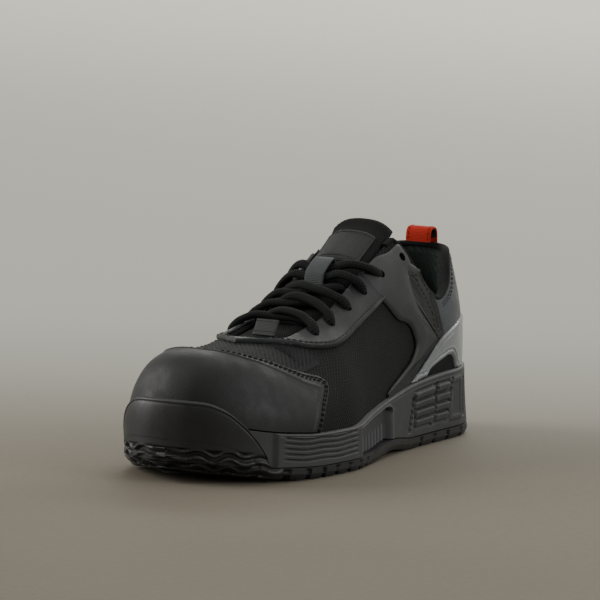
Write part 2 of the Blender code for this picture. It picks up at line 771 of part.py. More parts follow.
def eyelet_place(side, station, lift=0.0):
    """The middle of an eyelet on the eyestay's surface, and the way out of it."""
    station = np.float64(station)
    share = share_at_width(side, station, throat_width(side, station) + EYELET_MARGIN)
    place = upper_point(side, station, share, GAP + OVERLAY + lift)
    up = upper_point(side, station, share + 0.01, 0.0) - upper_point(side, station, share - 0.01, 0.0)
    ahead = upper_point(side, station + 0.005, share, 0.0) \
        - upper_point(side, station - 0.005, share, 0.0)
    way = np.cross(up, ahead) * side
    return place, way / np.linalg.norm(way)


def eyelet_holes(places):
    pins = []
    for station in places:
        for side in (1, -1):
            place, way = eyelet_place(side, station)
            pins.append(tube([place - way * 0.006, place + way * 0.004], EYELET / 2, 8))
    return joined(pins)


def saddle_grid(side, rows=11, columns=9):
    """Stations and shares spread between the saddle's lower and top edges and its two sides."""
    up = np.linspace(0, 1, rows)[:, None] + np.zeros(columns)
    across = np.linspace(0, 1, columns)
    share = 0.07 + 0.8 * up
    for _ in range(25):
        rear, front = along(SADDLE, 1, share), along(SADDLE, 2, share)
        place = rear + (front - rear) * across
        low, high = above_counter(side, place), overlay_top(side, place)
        share = 0.5 * share + 0.5 * (low + (high - low) * up)
    return place, share


def build_saddles():
    for name, side in (("saddle_outer", 1), ("saddle_inner", -1)):
        place, share = saddle_grid(side)
        shape = thick_sheet([(upper_point(side, place, share, 3 * GAP + OVERLAY),
                              upper_point(side, place, share, 3 * GAP))])
        saddle = new_object(name, shape, (0.05, 0.052, 0.052), 0.65)
        combine(saddle, helper(name + "_holes", eyelet_holes(EYELETS[STAY_EYELETS:])), "DIFFERENCE")


def above_counter(side, station):
    """The saddle's lowest edge: above the lip, and just above the heel counter."""
    seam = share_at_height(station, along(COUNTER_EDGE, 1, station) + 4 * GAP)
    return np.maximum(above_lip(side, station), np.where(station < COUNTER_EDGE[-1][0], seam, 0))


def counter_top(side, station):
    return np.maximum(share_at_height(station, along(COUNTER_EDGE, 1, station)),
                      above_lip(side, station))


def build_counter():
    shape = layer(stations(0.0, COUNTER_EDGE[-1][0]), above_lip, counter_top, GAP, GAP + OVERLAY)
    counter = new_object("heel_counter", shape, (0.20, 0.21, 0.22), 0.32)
    windows = layer(stations(WINDOW[0][1], WINDOW[0][2]), lambda side, s: WINDOW[0][0] + 0 * s,
                    lambda side, s: WINDOW[-1][0] + 0 * s, -0.004, 0.006, window_span,
                    [row[0] for row in WINDOW])
    combine(counter, helper("counter_windows", windows), "DIFFERENCE")


def window_span(share):
    return along(WINDOW, 1, share), along(WINDOW, 2, share)


def lining_low(side, station):
    return np.maximum(upper_edge(side, station) - COLLAR_DEPTH, 0.12)


def build_lining():
    """The padded collar, thickest half way down and thin where it meets the throat."""
    station = stations(0.0, LINING_FRONT)
    grids = []
    for side in (1, -1):
        low, high = lining_low(side, station), upper_edge(side, station)
        share = np.clip(LEVELS[:, None], low, high)
        swell = np.sin(math.pi * (0.12 + 0.76 * (share - low) / (high - low)))
        taper = 1 - eased(LINING_FRONT - 0.09, LINING_FRONT, station)
        pad = 0.0012 + COLLAR_PAD * swell * (0.15 + 0.85 * taper)
        grids.append((upper_point(side, station[None, :], share, -UPPER_WALL - 2 * GAP),
                      upper_point(side, station[None, :], share, -UPPER_WALL - 2 * GAP - pad)))
    new_object("collar_lining", thick_sheet(grids), (0.02, 0.021, 0.022), 0.9)


# The tongue and what is sewn to it

def tongue_point(side, station, across, depth):
    """The tongue's surface at a distance from its middle, depth below the upper's inner face."""
    side, station, across = np.broadcast_arrays(side, station, np.asarray(across, float))
    share = share_at_width(side, station, across)
    place = upper_point(side, station, share, -UPPER_WALL - 2 * GAP - depth)
    top = ridge(station, -UPPER_WALL - 2 * GAP - depth)[2]
    flat = along(TONGUE_PLAN, 2, station)
    place[..., 2] = top - (top - place[..., 2]) * flat
    return place


def tongue_layer(low, high, half, inner, outer, extra=()):
    """A layer of the tongue between two depths; half gives half its width at each station."""
    station = stations(low, high, extra=extra)
    across = np.linspace(1, 0, 6)[:, None] * half(station)
    grids = [(tongue_point(side, station[None, :], across, outer),
              tongue_point(side, station[None, :], across, inner)) for side in (1, -1)]
    return thick_sheet(grids)


def tongue_half(station):
    return THROAT_WIDTH * along(TONGUE_PLAN, 1, station)


def label_half(station):
    return LABEL_WIDTH / 2 + 0 * station


def build_tongue():
    shape = tongue_layer(TONGUE_TOP, TONGUE_END, tongue_half, TONGUE_PAD, 0.0,
                         extra=(0.345, 0.365))
    new_object("tongue", shape, (0.03, 0.03, 0.031), 0.85)
    shape = tongue_layer(*LABEL_SPAN, label_half, -2 * GAP, -2 * GAP - WEBBING, extra=(0.365,))
    new_object("tongue_label", shape, (0.035, 0.038, 0.038), 0.6)


# The laces, and what holds them

def strand(side, start, middle, end, over):
    """A strand from an eyelet over the tongue to the opposite edge, which it ends under.

    over is the share of its length that it runs clear of the eyestay before it sinks.
    """
    first = eyelet_place(side, start)[0][0]
    edge = throat_width(-side, end) - LACE / 2 - 3 * GAP
    last = axis_x(end) - side * edge
    points = []
    for f in np.linspace(0, 1, STRAND_POINTS):
        bend = 4 * f * (1 - f) * (middle - (start + end) / 2)
        sink = LACE_SINK * eased(over, over + 0.33, f) + 2 * GAP * eased(0.7, 1, f)
        points.append(lace_point(first + (last - first) * f, start + (end - start) * f + bend, sink))
    return points


def lace_point(x, station, sink):
    """A point of a lace: sink below the height at which it clears the eyestay."""
    station = np.float64(station)
    across = x - axis_x(station)
    side = 1.0 if across > 0 else -1.0
    share = share_at_width(side, station, abs(across))
    return upper_point(side, station, share, LACE_CLEAR - sink)


def band(start, middle):
    """A strand between the two eyelets of a pair, drawn forwards at its middle."""
    first, last = eyelet_place(1, start)[0][0], eyelet_place(-1, start)[0][0]
    points = []
    for f in np.linspace(0, 1, STRAND_POINTS + 4):
        pull = math.sin(math.pi * f) ** 0.6
        sink = LACE_SINK * eased(0.25, 0.42, min(f, 1 - f))
        points.append(lace_point(first + (last - first) * f, start + (middle - start) * pull, sink))
    return points


def build_laces():
    """Crossings over the tongue, each one solid where its two strands meet."""
    colour = (0.009, 0.011, 0.010)
    for number, (start, end, middle) in enumerate(LACING, start=1):
        start, end = EYELETS[start], EYELETS[end] + LACE_SHORT
        crossing = new_object(f"lace_crossing_{number}",
                              tube(strand(1, start, middle, end, 0.6), LACE / 2), colour, 0.9)
        below = tube(strand(-1, start, middle, end, 0.21), LACE / 2)
        combine(crossing, helper(f"lace_under_{number}", below), "UNION")
    for number, (start, middle) in enumerate(BANDS, start=1):
        new_object(f"lace_band_{number}", tube(band(EYELETS[start], middle), LACE / 2), colour, 0.9)


def strap(path, across, half, thick):
    """A flat strap along a path in the shoe's middle plane, thickened to the path's left."""
    path, across = np.array(path, float), np.array(across, float)
    rings = []
    for i, centre in enumerate(path):
        ahead = path[min(i + 1, len(path) - 1)] - path[max(i - 1, 0)]
        up = np.cross(across, ahead)
        up /= np.linalg.norm(up)
        rings.append([centre + across * x + up * z
                      for x, z in ((-half, 0), (half, 0), (half, thick), (-half, thick))])
    points = [p for ring in rings for p in ring]
    faces = [[0, 1, 2, 3], [len(points) - 4 + k for k in range(4)]]
    for i in range(len(rings) - 1):
        for k in range(4):
            n = (k + 1) % 4
            faces.append([i * 4 + k, i * 4 + n, i * 4 + 4 + n, i * 4 + 4 + k])
    return points, faces


def build_pull_loop():
    """A strap sewn to the back of the heel, which bends over the collar's edge to the inside."""
    edge = upper_edge(1, np.float64(0.0))
    low = share_at_height(np.float64(0.0), HEEL_HEIGHT - LOOP_LEG)
    leg = [upper_point(1, np.float64(0.0), low + (edge - low) * f, 2 * GAP) for f in (0, 0.5, 1)]
    turns = np.linspace(0, math.pi, 9)
    top = leg[-1]
    path = leg[:-1]
    for turn in turns:
        side = math.copysign(abs(math.cos(turn)) ** 0.6, math.cos(turn))
        path.append(np.array([0.0, top[1] - LOOP_DEPTH / 2 * (1 - side),
                              top[2] + LOOP_HEIGHT * math.sin(turn) ** 0.6]))
    path = [np.array([0.0, p[1], p[2]]) for p in path]
    path[-1][2] += 3 * GAP
    shape = strap(path[::-1], (1, 0, 0), LOOP_WIDTH / 2, WEBBING)
    new_object("pull_loop", shape, (0.45, 0.045, 0.015), 0.7)


def build_keeper():
    """A strap sewn to the tongue above and below the laces that it holds."""
    low = -UPPER_WALL - GAP
    high = LACE_CLEAR - LACE_SINK + LACE / 2 + 6 * GAP
    leg = KEEPER_LEG / SOLE_LENGTH
    path = []
    for station, lift in ((KEEPER[1], low), (KEEPER[1] - leg, high),
                          (KEEPER[0] + leg, high), (KEEPER[0], low + 4 * GAP)):
        path.append(ridge(np.float64(station), lift))
    shape = strap(path, (1, 0, 0), KEEPER_WIDTH / 2, WEBBING)
    new_object("lace_keeper", shape, (0.09, 0.10, 0.11), 0.6)


def build_tag():
    """A small tag that stands on the tongue at the front of the throat, leaning back."""
    x, y, z = ridge(np.float64(TAG_STATION), -UPPER_WALL)
    lean = np.array([0.0, math.sin(TAG_LEAN), math.cos(TAG_LEAN)])
    base = np.array([x + TAG_OFFSET, y, z])
    shape = strap([base, base + lean * TAG_HEIGHT], (1, 0, 0), TAG_WIDTH / 2, WEBBING)
    new_object("vamp_tag", shape, (0.03, 0.03, 0.032), 0.6)


def build_all():
    build_sole()
    build_insole()
    build_upper()
    build_toe_cap()
    build_eyestay()
    build_saddles()
    build_counter()
    build_lining()
    build_tongue()
    build_laces()
    build_keeper()
    build_tag()
    build_pull_loop()


def main():
    for old in list(bpy.data.objects):
        bpy.data.objects.remove(old)
    for name in ("safety_sneaker", "cutters"):
        collection = bpy.data.collections.new(name)
        bpy.context.scene.collection.children.link(collection)
    build_all()


if __name__ == "__main__":
    main()
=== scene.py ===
"""Looks of the left low-cut safety sneaker: visible pieces, materials, light and camera."""

import math

import bmesh
import bpy
import numpy as np
from mathutils import Matrix, Vector


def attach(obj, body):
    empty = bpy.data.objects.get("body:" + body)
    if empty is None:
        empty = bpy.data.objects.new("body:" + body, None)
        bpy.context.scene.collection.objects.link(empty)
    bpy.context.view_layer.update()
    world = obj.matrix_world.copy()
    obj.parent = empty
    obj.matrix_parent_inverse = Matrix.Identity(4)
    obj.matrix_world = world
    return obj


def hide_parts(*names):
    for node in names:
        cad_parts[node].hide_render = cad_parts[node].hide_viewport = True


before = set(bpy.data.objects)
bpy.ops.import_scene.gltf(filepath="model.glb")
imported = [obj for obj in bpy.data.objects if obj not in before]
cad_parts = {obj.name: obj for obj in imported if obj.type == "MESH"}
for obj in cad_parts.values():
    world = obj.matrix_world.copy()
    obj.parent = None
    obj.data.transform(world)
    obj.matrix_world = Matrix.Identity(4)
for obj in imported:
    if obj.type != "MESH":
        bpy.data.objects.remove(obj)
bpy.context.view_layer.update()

# The camera that took the photograph
AZIMUTH = math.radians(28.15)
ELEVATION = math.radians(7.42)
ROLL = math.radians(1.59)
DISTANCE = 3.0
TARGET = (0, 0, 0.055)
TARGET_PIXEL = (310.5, 356.4)
FOCAL_PIXELS = 5299.2
IMAGE = 600

# Fine detail, in metres
WELD = 1e-5
SHARP = math.radians(50)
RIM = 0.0013
STITCH = 0.00065
STITCH_LENGTH = 0.0024
STITCH_PITCH = 0.0034

# Driving dimensions, in metres
SOLE_LENGTH = 0.302
BALL_WIDTH = 0.112
HEEL_WIDTH = 0.083
TOE_SWING = 0.008        # the toe's tip lies this far towards the inner side
TOE_SPRING = 0.013       # the sole's tip above the floor
ARCH_RISE = 0.003        # the waist's underside above the floor
HEEL_LIP = 0.036         # floor to the top of the midsole's wall at the heel
BALL_LIP = 0.0245        # and at the ball
HEEL_BED = 0.026         # floor to the foot bed at the heel
BALL_BED = 0.0155        # and at the ball
BUMPER_TOP = 0.046       # floor to the top of the rubber bumper at the toe
INSTEP_HEIGHT = 0.126    # floor to the ridge of the instep at the top eyelets
TOE_HEIGHT = 0.070       # floor to the top of the upper over the toes
HEEL_HEIGHT = 0.1085     # floor to the collar at the back
ANKLE_DIP = 0.083        # floor to the collar at its lowest
THROAT_WIDTH = 0.040     # between the eyestay's edges at the top eyelets
EYELET_MARGIN = 0.0062   # from the eyestay's edge to the middle of an eyelet

# Walls, layers and clearances
UPPER_WALL = 0.0022
OVERLAY = 0.0013
GAP = 0.0003             # left between pieces that touch
OUTSOLE = 0.0065         # tread and base together
LUG = 0.0032             # the depth of the tread
LIP_WALL = 0.0035        # the midsole's wall beside the upper
BUMPER_WALL = 0.0024     # the bumper at its top edge
INSOLE = 0.0045
COLLAR_PAD = 0.0065
TONGUE_PAD = 0.0055
LACE = 0.0046            # the diameter of the round lace
EYELET = 0.0052          # the diameter of an eyelet
WEBBING = 0.0013
LOOP_WIDTH = 0.016       # the heel's pull loop
LOOP_HEIGHT = 0.0085
LOOP_DEPTH = 0.008
LABEL_WIDTH = 0.032
TAG_WIDTH = 0.014
TAG_HEIGHT = 0.010
KEEPER_WIDTH = 0.012

# Places along the shoe, as shares of the sole's length from the heel
ANKLE = 0.17             # the upright axis that the heel's wall turns round
DOME = 0.865             # the upright axis that the toe's wall turns round
HEEL_ROUND = 0.15        # the heel's end is rounded up to here
TOE_ROUND = 0.755        # and the toe's from here
THROAT_FRONT = 0.742
THROAT_ROUND = 0.055
BUMPER_BACK = 0.885
STAY_FRONT = 0.770
LINING_FRONT = 0.290
INNER_SHIFT = 0.050      # how much further forward the inner side's collar rises
TONGUE_TOP = 0.297
TONGUE_END = 0.790
LABEL_SPAN = (0.345, 0.420)
EYELETS = (0.640, 0.583, 0.525, 0.467, 0.407, 0.330)
STAY_EYELETS = 4         # the others are in the saddles
TOE_TREAD = (0.60, 0.93)
HEEL_TREAD = (0.07, 0.30)
RIB_BACK = 0.640
PAD_COLUMNS = ((0.185, 0.243), (0.252, 0.330))
POCKET = (0.445, 0.620, 0.86)            # back, front, and its top as a share of the wall

# Detail of the sole, and shares of the midsole's wall
SOLE_CHAMFER = 0.0008
TREAD_INSET = 0.0022
TOE_ROLL = 0.0050        # the tread rolls up this far over the toe's edge
TOE_ROLL_DEPTH = 0.0090  # from this far in
FLARE_INSET = 0.0012
GROOVE = 0.0032
GROOVE_WAVE = 0.0035
TOE_GROOVES = 9
HEEL_GROOVES = 5
POCKET_DEPTH = 0.0035
PAD_ROWS = 4
PAD_SPAN = (0.17, 0.85)
PAD_STEP = 0.0016
RIBS = 5
RIB_SPAN = (0.22, 0.86)
RIB_HALF = 0.035
RIB_CUT = 0.0009
EDGE_SHARE = 0.012       # an overlay stops this share short of the collar's edge
STRAND_POINTS = 11
LACE_CLEAR = 5 * GAP + OVERLAY + LACE / 2      # from the upper to a strand's middle
LACE_SINK = LACE - 2 * GAP   # how much lower a strand lies on the tongue
LACE_SHORT = 0.022       # a strand ends this share of the sole's length in front of its eyelet
KEEPER = (0.447, 0.4955)  # the ends of the strap that holds the laces
KEEPER_LEG = 0.0012
TAG_STATION = 0.690
TAG_OFFSET = 0.003
TAG_LEAN = 0.6
LOOP_LEG = 0.008         # how far the pull loop reaches down the heel
COLLAR_DEPTH = 0.30      # the padded lining's depth, as a share of the way up the upper

# The sole's outline: station, the width that the row follows, and its outer and inner shares
SOLE_PLAN = (
    (0.00, HEEL_WIDTH, 0.49, 0.50),
    (0.14, HEEL_WIDTH, 0.50, 0.50),
    (0.30, HEEL_WIDTH, 0.51, 0.46),
    (0.42, HEEL_WIDTH, 0.55, 0.44),
    (0.54, BALL_WIDTH, 0.455, 0.375),
    (0.66, BALL_WIDTH, 0.515, 0.465),
    (0.76, BALL_WIDTH, 0.510, 0.480),
    (0.88, BALL_WIDTH, 0.490, 0.470),
    (1.00, BALL_WIDTH, 0.480, 0.465),
)
# The sole's heights: station, underside, top of the midsole's wall, foot bed
SOLE_HEIGHTS = (
    (0.00, 0.18 * TOE_SPRING, 1.14 * HEEL_LIP, 1.02 * HEEL_BED),
    (0.06, 0.00 * TOE_SPRING, 1.12 * HEEL_LIP, 1.01 * HEEL_BED),
    (0.20, 0.00 * TOE_SPRING, 1.11 * HEEL_LIP, 1.00 * HEEL_BED),
    (0.33, 0.00 * TOE_SPRING, 1.04 * HEEL_LIP, 0.95 * HEEL_BED),
    (0.44, 1.00 * ARCH_RISE, 0.92 * HEEL_LIP, 0.80 * HEEL_BED),
    (0.55, 0.00 * TOE_SPRING, 1.16 * BALL_LIP, 1.08 * BALL_BED),
    (0.66, 0.00 * TOE_SPRING, 1.00 * BALL_LIP, 1.00 * BALL_BED),
    (0.73, 0.00 * TOE_SPRING, 1.00 * BALL_LIP, 1.00 * BALL_BED),
    (0.86, 0.12 * TOE_SPRING, 1.10 * BALL_LIP, 1.15 * BALL_BED),
    (1.00, 0.45 * TOE_SPRING, 1.40 * BALL_LIP, 1.55 * BALL_BED),
)
# The upper's sections: station, height of the ridge, squareness of the section, outward swell,
# and the feather edge's inset from the sole's outline
UPPER_SECTIONS = (
    (0.00, 1.10 * INSTEP_HEIGHT, 2.50, 0.025 * HEEL_WIDTH, 0.045 * HEEL_WIDTH),
    (0.07, 1.11 * INSTEP_HEIGHT, 2.25, 0.015 * HEEL_WIDTH, 0.085 * HEEL_WIDTH),
    (0.17, 1.12 * INSTEP_HEIGHT, 2.05, 0.025 * HEEL_WIDTH, 0.062 * HEEL_WIDTH),
    (0.25, 1.10 * INSTEP_HEIGHT, 2.4, 0.010 * HEEL_WIDTH, 0.055 * HEEL_WIDTH),
    (0.325, 1.015 * INSTEP_HEIGHT, 2.7, 0.005 * HEEL_WIDTH, 0.060 * HEEL_WIDTH),
    (0.40, 0.91 * INSTEP_HEIGHT, 2.65, 0.000 * HEEL_WIDTH, 0.065 * HEEL_WIDTH),
    (0.50, 0.76 * INSTEP_HEIGHT, 2.65, 0.000 * HEEL_WIDTH, 0.055 * BALL_WIDTH),
    (0.60, 0.635 * INSTEP_HEIGHT, 2.55, 0.006 * BALL_WIDTH, 0.050 * BALL_WIDTH),
    (0.68, 1.075 * TOE_HEIGHT, 2.3, 0.012 * BALL_WIDTH, 0.050 * BALL_WIDTH),
    (0.75, 1.01 * TOE_HEIGHT, 2.3, 0.014 * BALL_WIDTH, 0.050 * BALL_WIDTH),
    (0.82, 0.985 * TOE_HEIGHT, 2.5, 0.012 * BALL_WIDTH, 0.048 * BALL_WIDTH),
    (0.87, 0.98 * TOE_HEIGHT, 2.7, 0.008 * BALL_WIDTH, 0.046 * BALL_WIDTH),
    (1.00, 0.98 * TOE_HEIGHT, 2.8, 0.000 * BALL_WIDTH, 0.046 * BALL_WIDTH),
)
# The collar's edge: station, height
COLLAR = (
    (0.00, 1.00 * HEEL_HEIGHT),
    (0.04, 0.985 * HEEL_HEIGHT),
    (0.09, 0.93 * HEEL_HEIGHT),
    (0.15, 1.06 * ANKLE_DIP),
    (0.20, 1.00 * ANKLE_DIP),
    (0.24, 1.07 * ANKLE_DIP),
    (0.285, 1.25 * ANKLE_DIP),
    (0.33, 1.48 * ANKLE_DIP),
    (1.00, 3.00 * ANKLE_DIP),
)
# The throat's half width on the outer and the inner side: station, shares of THROAT_WIDTH
THROAT = (
    (0.00, 0.60, 0.54),
    (0.32, 0.54, 0.50),
    (0.46, 0.50, 0.52),
    (0.60, 0.48, 0.50),
    (1.00, 0.46, 0.46),
)
# The toe cap's rear edge: share of the way up the upper, station
CAP_EDGE = (
    (0.00, 0.770),
    (0.20, 0.740),
    (0.36, 0.703),
    (0.42, 0.715),
    (0.50, 0.758),
    (0.65, 0.812),
    (0.81, 0.850),
    (1.00, 0.865),
)
# The eyestay's outer edge: station, share of the way up the upper
STAY_EDGE = (
    (0.30, 0.44),
    (0.417, 0.455),
    (0.542, 0.515),
    (0.623, 0.562),
    (0.684, 0.649),
    (0.715, 0.760),
    (0.745, 0.880),
    (STAY_FRONT, 1.0),
)
# The saddle on each side: share of the way up, rear station, front station
SADDLE = (
    (0.060, 0.240, 0.450),
    (0.075, 0.240, 0.420),
    (0.090, 0.240, 0.350),
    (0.140, 0.240, 0.316),
    (0.190, 0.220, 0.326),
    (0.224, 0.222, 0.338),
    (0.300, 0.275, 0.383),
    (0.440, 0.300, 0.419),
    (0.550, 0.290, 0.438),
    (0.640, 0.285, 0.445),
    (1.000, 0.285, 0.447),
)
# The heel counter's top edge: station, height
COUNTER_EDGE = (
    (0.00, 0.635 * HEEL_HEIGHT),
    (0.10, 0.625 * HEEL_HEIGHT),
    (0.20, 0.560 * HEEL_HEIGHT),
    (0.30, 0.395 * HEEL_HEIGHT),
    (0.37, 0.305 * HEEL_HEIGHT),
)
# The arched window in each side of the counter: share of the way up, rear station, front station
WINDOW = (
    (0.000, 0.136, 0.300),
    (0.064, 0.138, 0.258),
    (0.082, 0.142, 0.232),
    (0.105, 0.150, 0.204),
    (0.122, 0.162, 0.180),
)
# The lace's crossings: the eyelet that both strands start at, the one whose edge they end under
# on the other side, and the station where they cross the middle
LACING = (
    (0, 1, 0.611),
    (1, 2, 0.558),
    (2, 3, 0.530),
)
# The strands that run through the keeper: the eyelets that they join, where they cross the middle
BANDS = (
    (3, 0.484),
    (4, 0.463),
)
# The tongue: station, half width as a share of THROAT_WIDTH, how far its sides keep the fall
TONGUE_PLAN = (
    (0.000, 0.52, 0.72),
    (0.297, 0.52, 0.72),
    (0.365, 0.54, 1.00),
    (0.400, 0.64, 1.00),
    (0.650, 0.62, 1.00),
    (1.000, 0.55, 1.00),
)
# The bumper's top edge: station, share of its height at the tip
BUMPER_EDGE = (
    (0.00, 0.0),
    (BUMPER_BACK, 0.0),
    (0.900, 0.22),
    (0.921, 0.48),
    (0.940, 0.67),
    (0.964, 0.88),
    (0.985, 0.98),
    (1.000, 1.0),
)


def along(table, column, station):
    """A smooth curve, with no overshoot, through one column of a table of stations."""
    x = np.array([row[0] for row in table], float)
    y = np.array([row[column] for row in table], float)
    step = np.diff(x)
    slope = np.diff(y) / step
    product = slope[:-1] * slope[1:]
    total = np.where(product > 0, slope[:-1] + slope[1:], 1.0)
    inner = np.where(product > 0, 2 * product / total, 0.0)
    tangent = np.concatenate([slope[:1], inner, slope[-1:]])
    at = np.clip(np.asarray(station, float), x[0], x[-1])
    i = np.clip(np.searchsorted(x, at, side="right") - 1, 0, len(step) - 1)
    f = (at - x[i]) / step[i]
    return (
        y[i] * (1 + 2 * f) * (1 - f) ** 2
        + tangent[i] * step[i] * f * (1 - f) ** 2
        + y[i + 1] * f**2 * (3 - 2 * f)
        + tangent[i + 1] * step[i] * f**2 * (f - 1)
    )


def eased(low, high, value):
    """0 below low, 1 above high, and a smooth step between."""
    f = np.clip((np.asarray(value, float) - low) / (high - low), 0, 1)
    return f * f * (3 - 2 * f)


def unit(vectors):
    """Vectors at length 1."""
    return vectors / np.maximum(np.linalg.norm(vectors, axis=-1, keepdims=True), 1e-9)


def outline(side, station):
    """The sole's outline in plan, as x and y."""
    station = np.asarray(station, float)
    widths = np.array([[row[0], row[1] * row[2], row[1] * row[3]] for row in SOLE_PLAN])
    half = np.where(side > 0, along(widths, 1, station), along(widths, 2, station))
    heel = np.clip((HEEL_ROUND - station) / HEEL_ROUND, 0, 1)
    toe = np.clip((station - TOE_ROUND) / (1 - TOE_ROUND), 0, 1)
    half = half * (1 - heel**2.3) ** (1 / 2.3) * (1 - toe**2.2) ** (1 / 2.2)
    return axis_x(station) + side * half, SOLE_LENGTH * (0.5 - station)


def axis_x(station):
    """The sole's middle line bends inwards from the ball to the toe."""
    return -TOE_SWING * eased(0.50, 1.05, station)


def outward(side, station):
    """The sole outline's outward normal in plan."""
    turn = np.arccos(np.clip(1 - 2 * np.asarray(station, float), -1, 1)) * side
    ends = []
    for angle in (turn - 0.004, turn + 0.004):
        ends.append(outline(np.where(angle * side >= 0, side, -side)
                            * np.where(np.abs(angle) > math.pi, -1, 1),
                            (1 - np.cos(angle)) / 2))
    x = -(ends[1][1] - ends[0][1])
    y = ends[1][0] - ends[0][0]
    size = np.hypot(x, y)
    return x / size, y / size


def feather(side, station, offset=0.0):
    """The upper's feather edge in plan, moved outwards by offset."""
    return moved_outline(side, station, offset - along(UPPER_SECTIONS, 4, station))


def bed_height(station):
    return along(SOLE_HEIGHTS, 3, station)


def lip_height(station):
    return along(SOLE_HEIGHTS, 2, station)


def tread_height(station):
    return along(SOLE_HEIGHTS, 1, station)


def ridge(station, offset=0.0):
    """The ridge of the instep above a station; the heel's and the toe's walls turn round its ends."""
    held = np.clip(station, ANKLE, DOME)
    return (axis_x(held), SOLE_LENGTH * (0.5 - held),
            along(UPPER_SECTIONS, 1, held) + offset)


def upper_point(side, station, share, offset=0.0):
    """The upper's outer surface moved outwards by offset; share runs from feather edge to ridge."""
    side, station, share = np.broadcast_arrays(side, station, np.asarray(share, float))
    foot_x, foot_y = feather(side, station, offset)
    foot_z = bed_height(station) + GAP
    ridge_x, ridge_y, ridge_z = ridge(station, offset)
    power = 2 / along(UPPER_SECTIONS, 2, station)
    angle = share * math.pi / 2
    inward = np.abs(np.cos(angle)) ** power
    rise = np.sin(angle) ** power
    reach = np.maximum(np.hypot(foot_x - ridge_x, foot_y - ridge_y), 1e-6)
    swell = along(UPPER_SECTIONS, 3, station) * np.sin(math.pi * np.clip(rise / 0.7, 0, 1)) ** 2
    spread = inward + swell / reach
    return np.stack([ridge_x + (foot_x - ridge_x) * spread,
                     ridge_y + (foot_y - ridge_y) * spread,
                     foot_z + (ridge_z - foot_z) * rise], axis=-1)


def share_at_height(station, height):
    """How far up the upper a height above the floor lies."""
    foot = bed_height(station) + GAP
    rise = np.clip((height - foot) / (ridge(station)[2] - foot), 0, 1)
    return np.arcsin(rise ** (along(UPPER_SECTIONS, 2, station) / 2)) * 2 / math.pi


def share_at_width(side, station, width):
    """How far up the upper its surface comes within this distance of the ridge in plan."""
    foot_x, foot_y = feather(side, station)
    ridge_x, ridge_y, _ = ridge(station)
    reach = np.hypot(foot_x - ridge_x, foot_y - ridge_y)
    inward = np.clip(width / reach, 0, 1)
    return np.arccos(inward ** (along(UPPER_SECTIONS, 2, station) / 2)) * 2 / math.pi


def throat_width(side, station):
    """Half the throat's width, with a round front end."""
    front = np.clip((station - (THROAT_FRONT - THROAT_ROUND)) / THROAT_ROUND, 0, 1)
    share = np.where(side > 0, along(THROAT, 1, station), along(THROAT, 2, station))
    return THROAT_WIDTH * share * np.sqrt(1 - front**2)


def upper_edge(side, station):
    """How far up the upper its collar or throat cuts it off; 1 where it is closed over the toes."""
    shifted = station - np.where(side < 0, INNER_SHIFT * eased(0.15, 0.33, station), 0)
    collar = share_at_height(station, along(COLLAR, 1, shifted))
    throat = share_at_width(side, station, throat_width(side, station))
    soft = 0.012
    joined = -soft * np.log(np.exp(-collar / soft) + np.exp(-throat / soft))
    return np.where(station >= THROAT_FRONT - 1e-9, 1.0, np.where(station < 0.22, collar, joined))


def with_height(xy, height):
    x, y = xy
    return np.stack([x, y, np.broadcast_to(height, x.shape)], axis=-1)


def moved_outline(side, station, offset):
    x, y = outline(side, station)
    nx, ny = outward(side, station)
    return x + nx * offset, y + ny * offset


def upper_at_height(side, station, height, offset):
    """The upper's surface, moved outwards by offset, at a height; below the bed it is the feather."""
    above = height > bed_height(station) + GAP
    share = np.where(above, share_at_height(station, height), 0.0)
    place = upper_point(side, station, share, offset)
    place[..., 2] = height
    return place


def midsole_wall(side, station, share, offset=0.0):
    """The midsole's outer wall, from its underside (0) to the top of its lip (1)."""
    side, station, share = np.broadcast_arrays(side, station, np.asarray(share, float))
    low = tread_height(station) + OUTSOLE + GAP
    height = low + (lip_height(station) - low) * share
    at_lip = upper_at_height(side, station, height, LIP_WALL + offset)
    covered = upper_at_height(side, station, height, GAP + OVERLAY + offset)
    flare = with_height(moved_outline(side, station, offset - FLARE_INSET), height)
    blend = (1 - share[..., None]) ** 1.3
    open_wall = at_lip + (flare - at_lip) * blend
    hidden = eased(BUMPER_BACK - 0.015, BUMPER_BACK, station)[..., None]
    return open_wall + (covered - open_wall) * hidden


def rolled(station):
    """0 along the shoe, rising to 1 where the tread rolls up round the toe."""
    return eased(BUMPER_BACK - 0.045, BUMPER_BACK + 0.085, station)


def tread_edge(station):
    """The height of the tread's outer edge."""
    return tread_height(station) + LUG + TOE_ROLL * rolled(station)


def bumper_height(station):
    """The bumper's top edge, falling to the outsole's top beside the little toe."""
    base = tread_height(station) + OUTSOLE
    return base + (BUMPER_TOP - base) * along(BUMPER_EDGE, 1, station)


def above_lip(side, station):
    """The lowest edge of an overlay, just above the midsole's lip or inside the bumper."""
    return share_at_height(station, lip_height(station) + 2 * GAP)


def eyestay_low(side, station):
    return along(STAY_EDGE, 1, station)


def overlay_top(side, station):
    return upper_edge(side, station) - EDGE_SHARE * (station < THROAT_FRONT)


def eyelet_place(side, station):
    """The middle of an eyelet on the eyestay's surface, and the way out of it."""
    station = np.float64(station)
    share = share_at_width(side, station, throat_width(side, station) + EYELET_MARGIN)
    place = upper_point(side, station, share, GAP + OVERLAY)
    up = upper_point(side, station, share + 0.01) - upper_point(side, station, share - 0.01)
    ahead = upper_point(side, station + 0.005, share) - upper_point(side, station - 0.005, share)
    return place, unit(np.cross(up, ahead) * side)


def above_counter(side, station):
    """The saddle's lowest edge: above the lip, and just above the heel counter."""
    seam = share_at_height(station, along(COUNTER_EDGE, 1, station) + 4 * GAP)
    return np.maximum(above_lip(side, station), np.where(station < COUNTER_EDGE[-1][0], seam, 0))


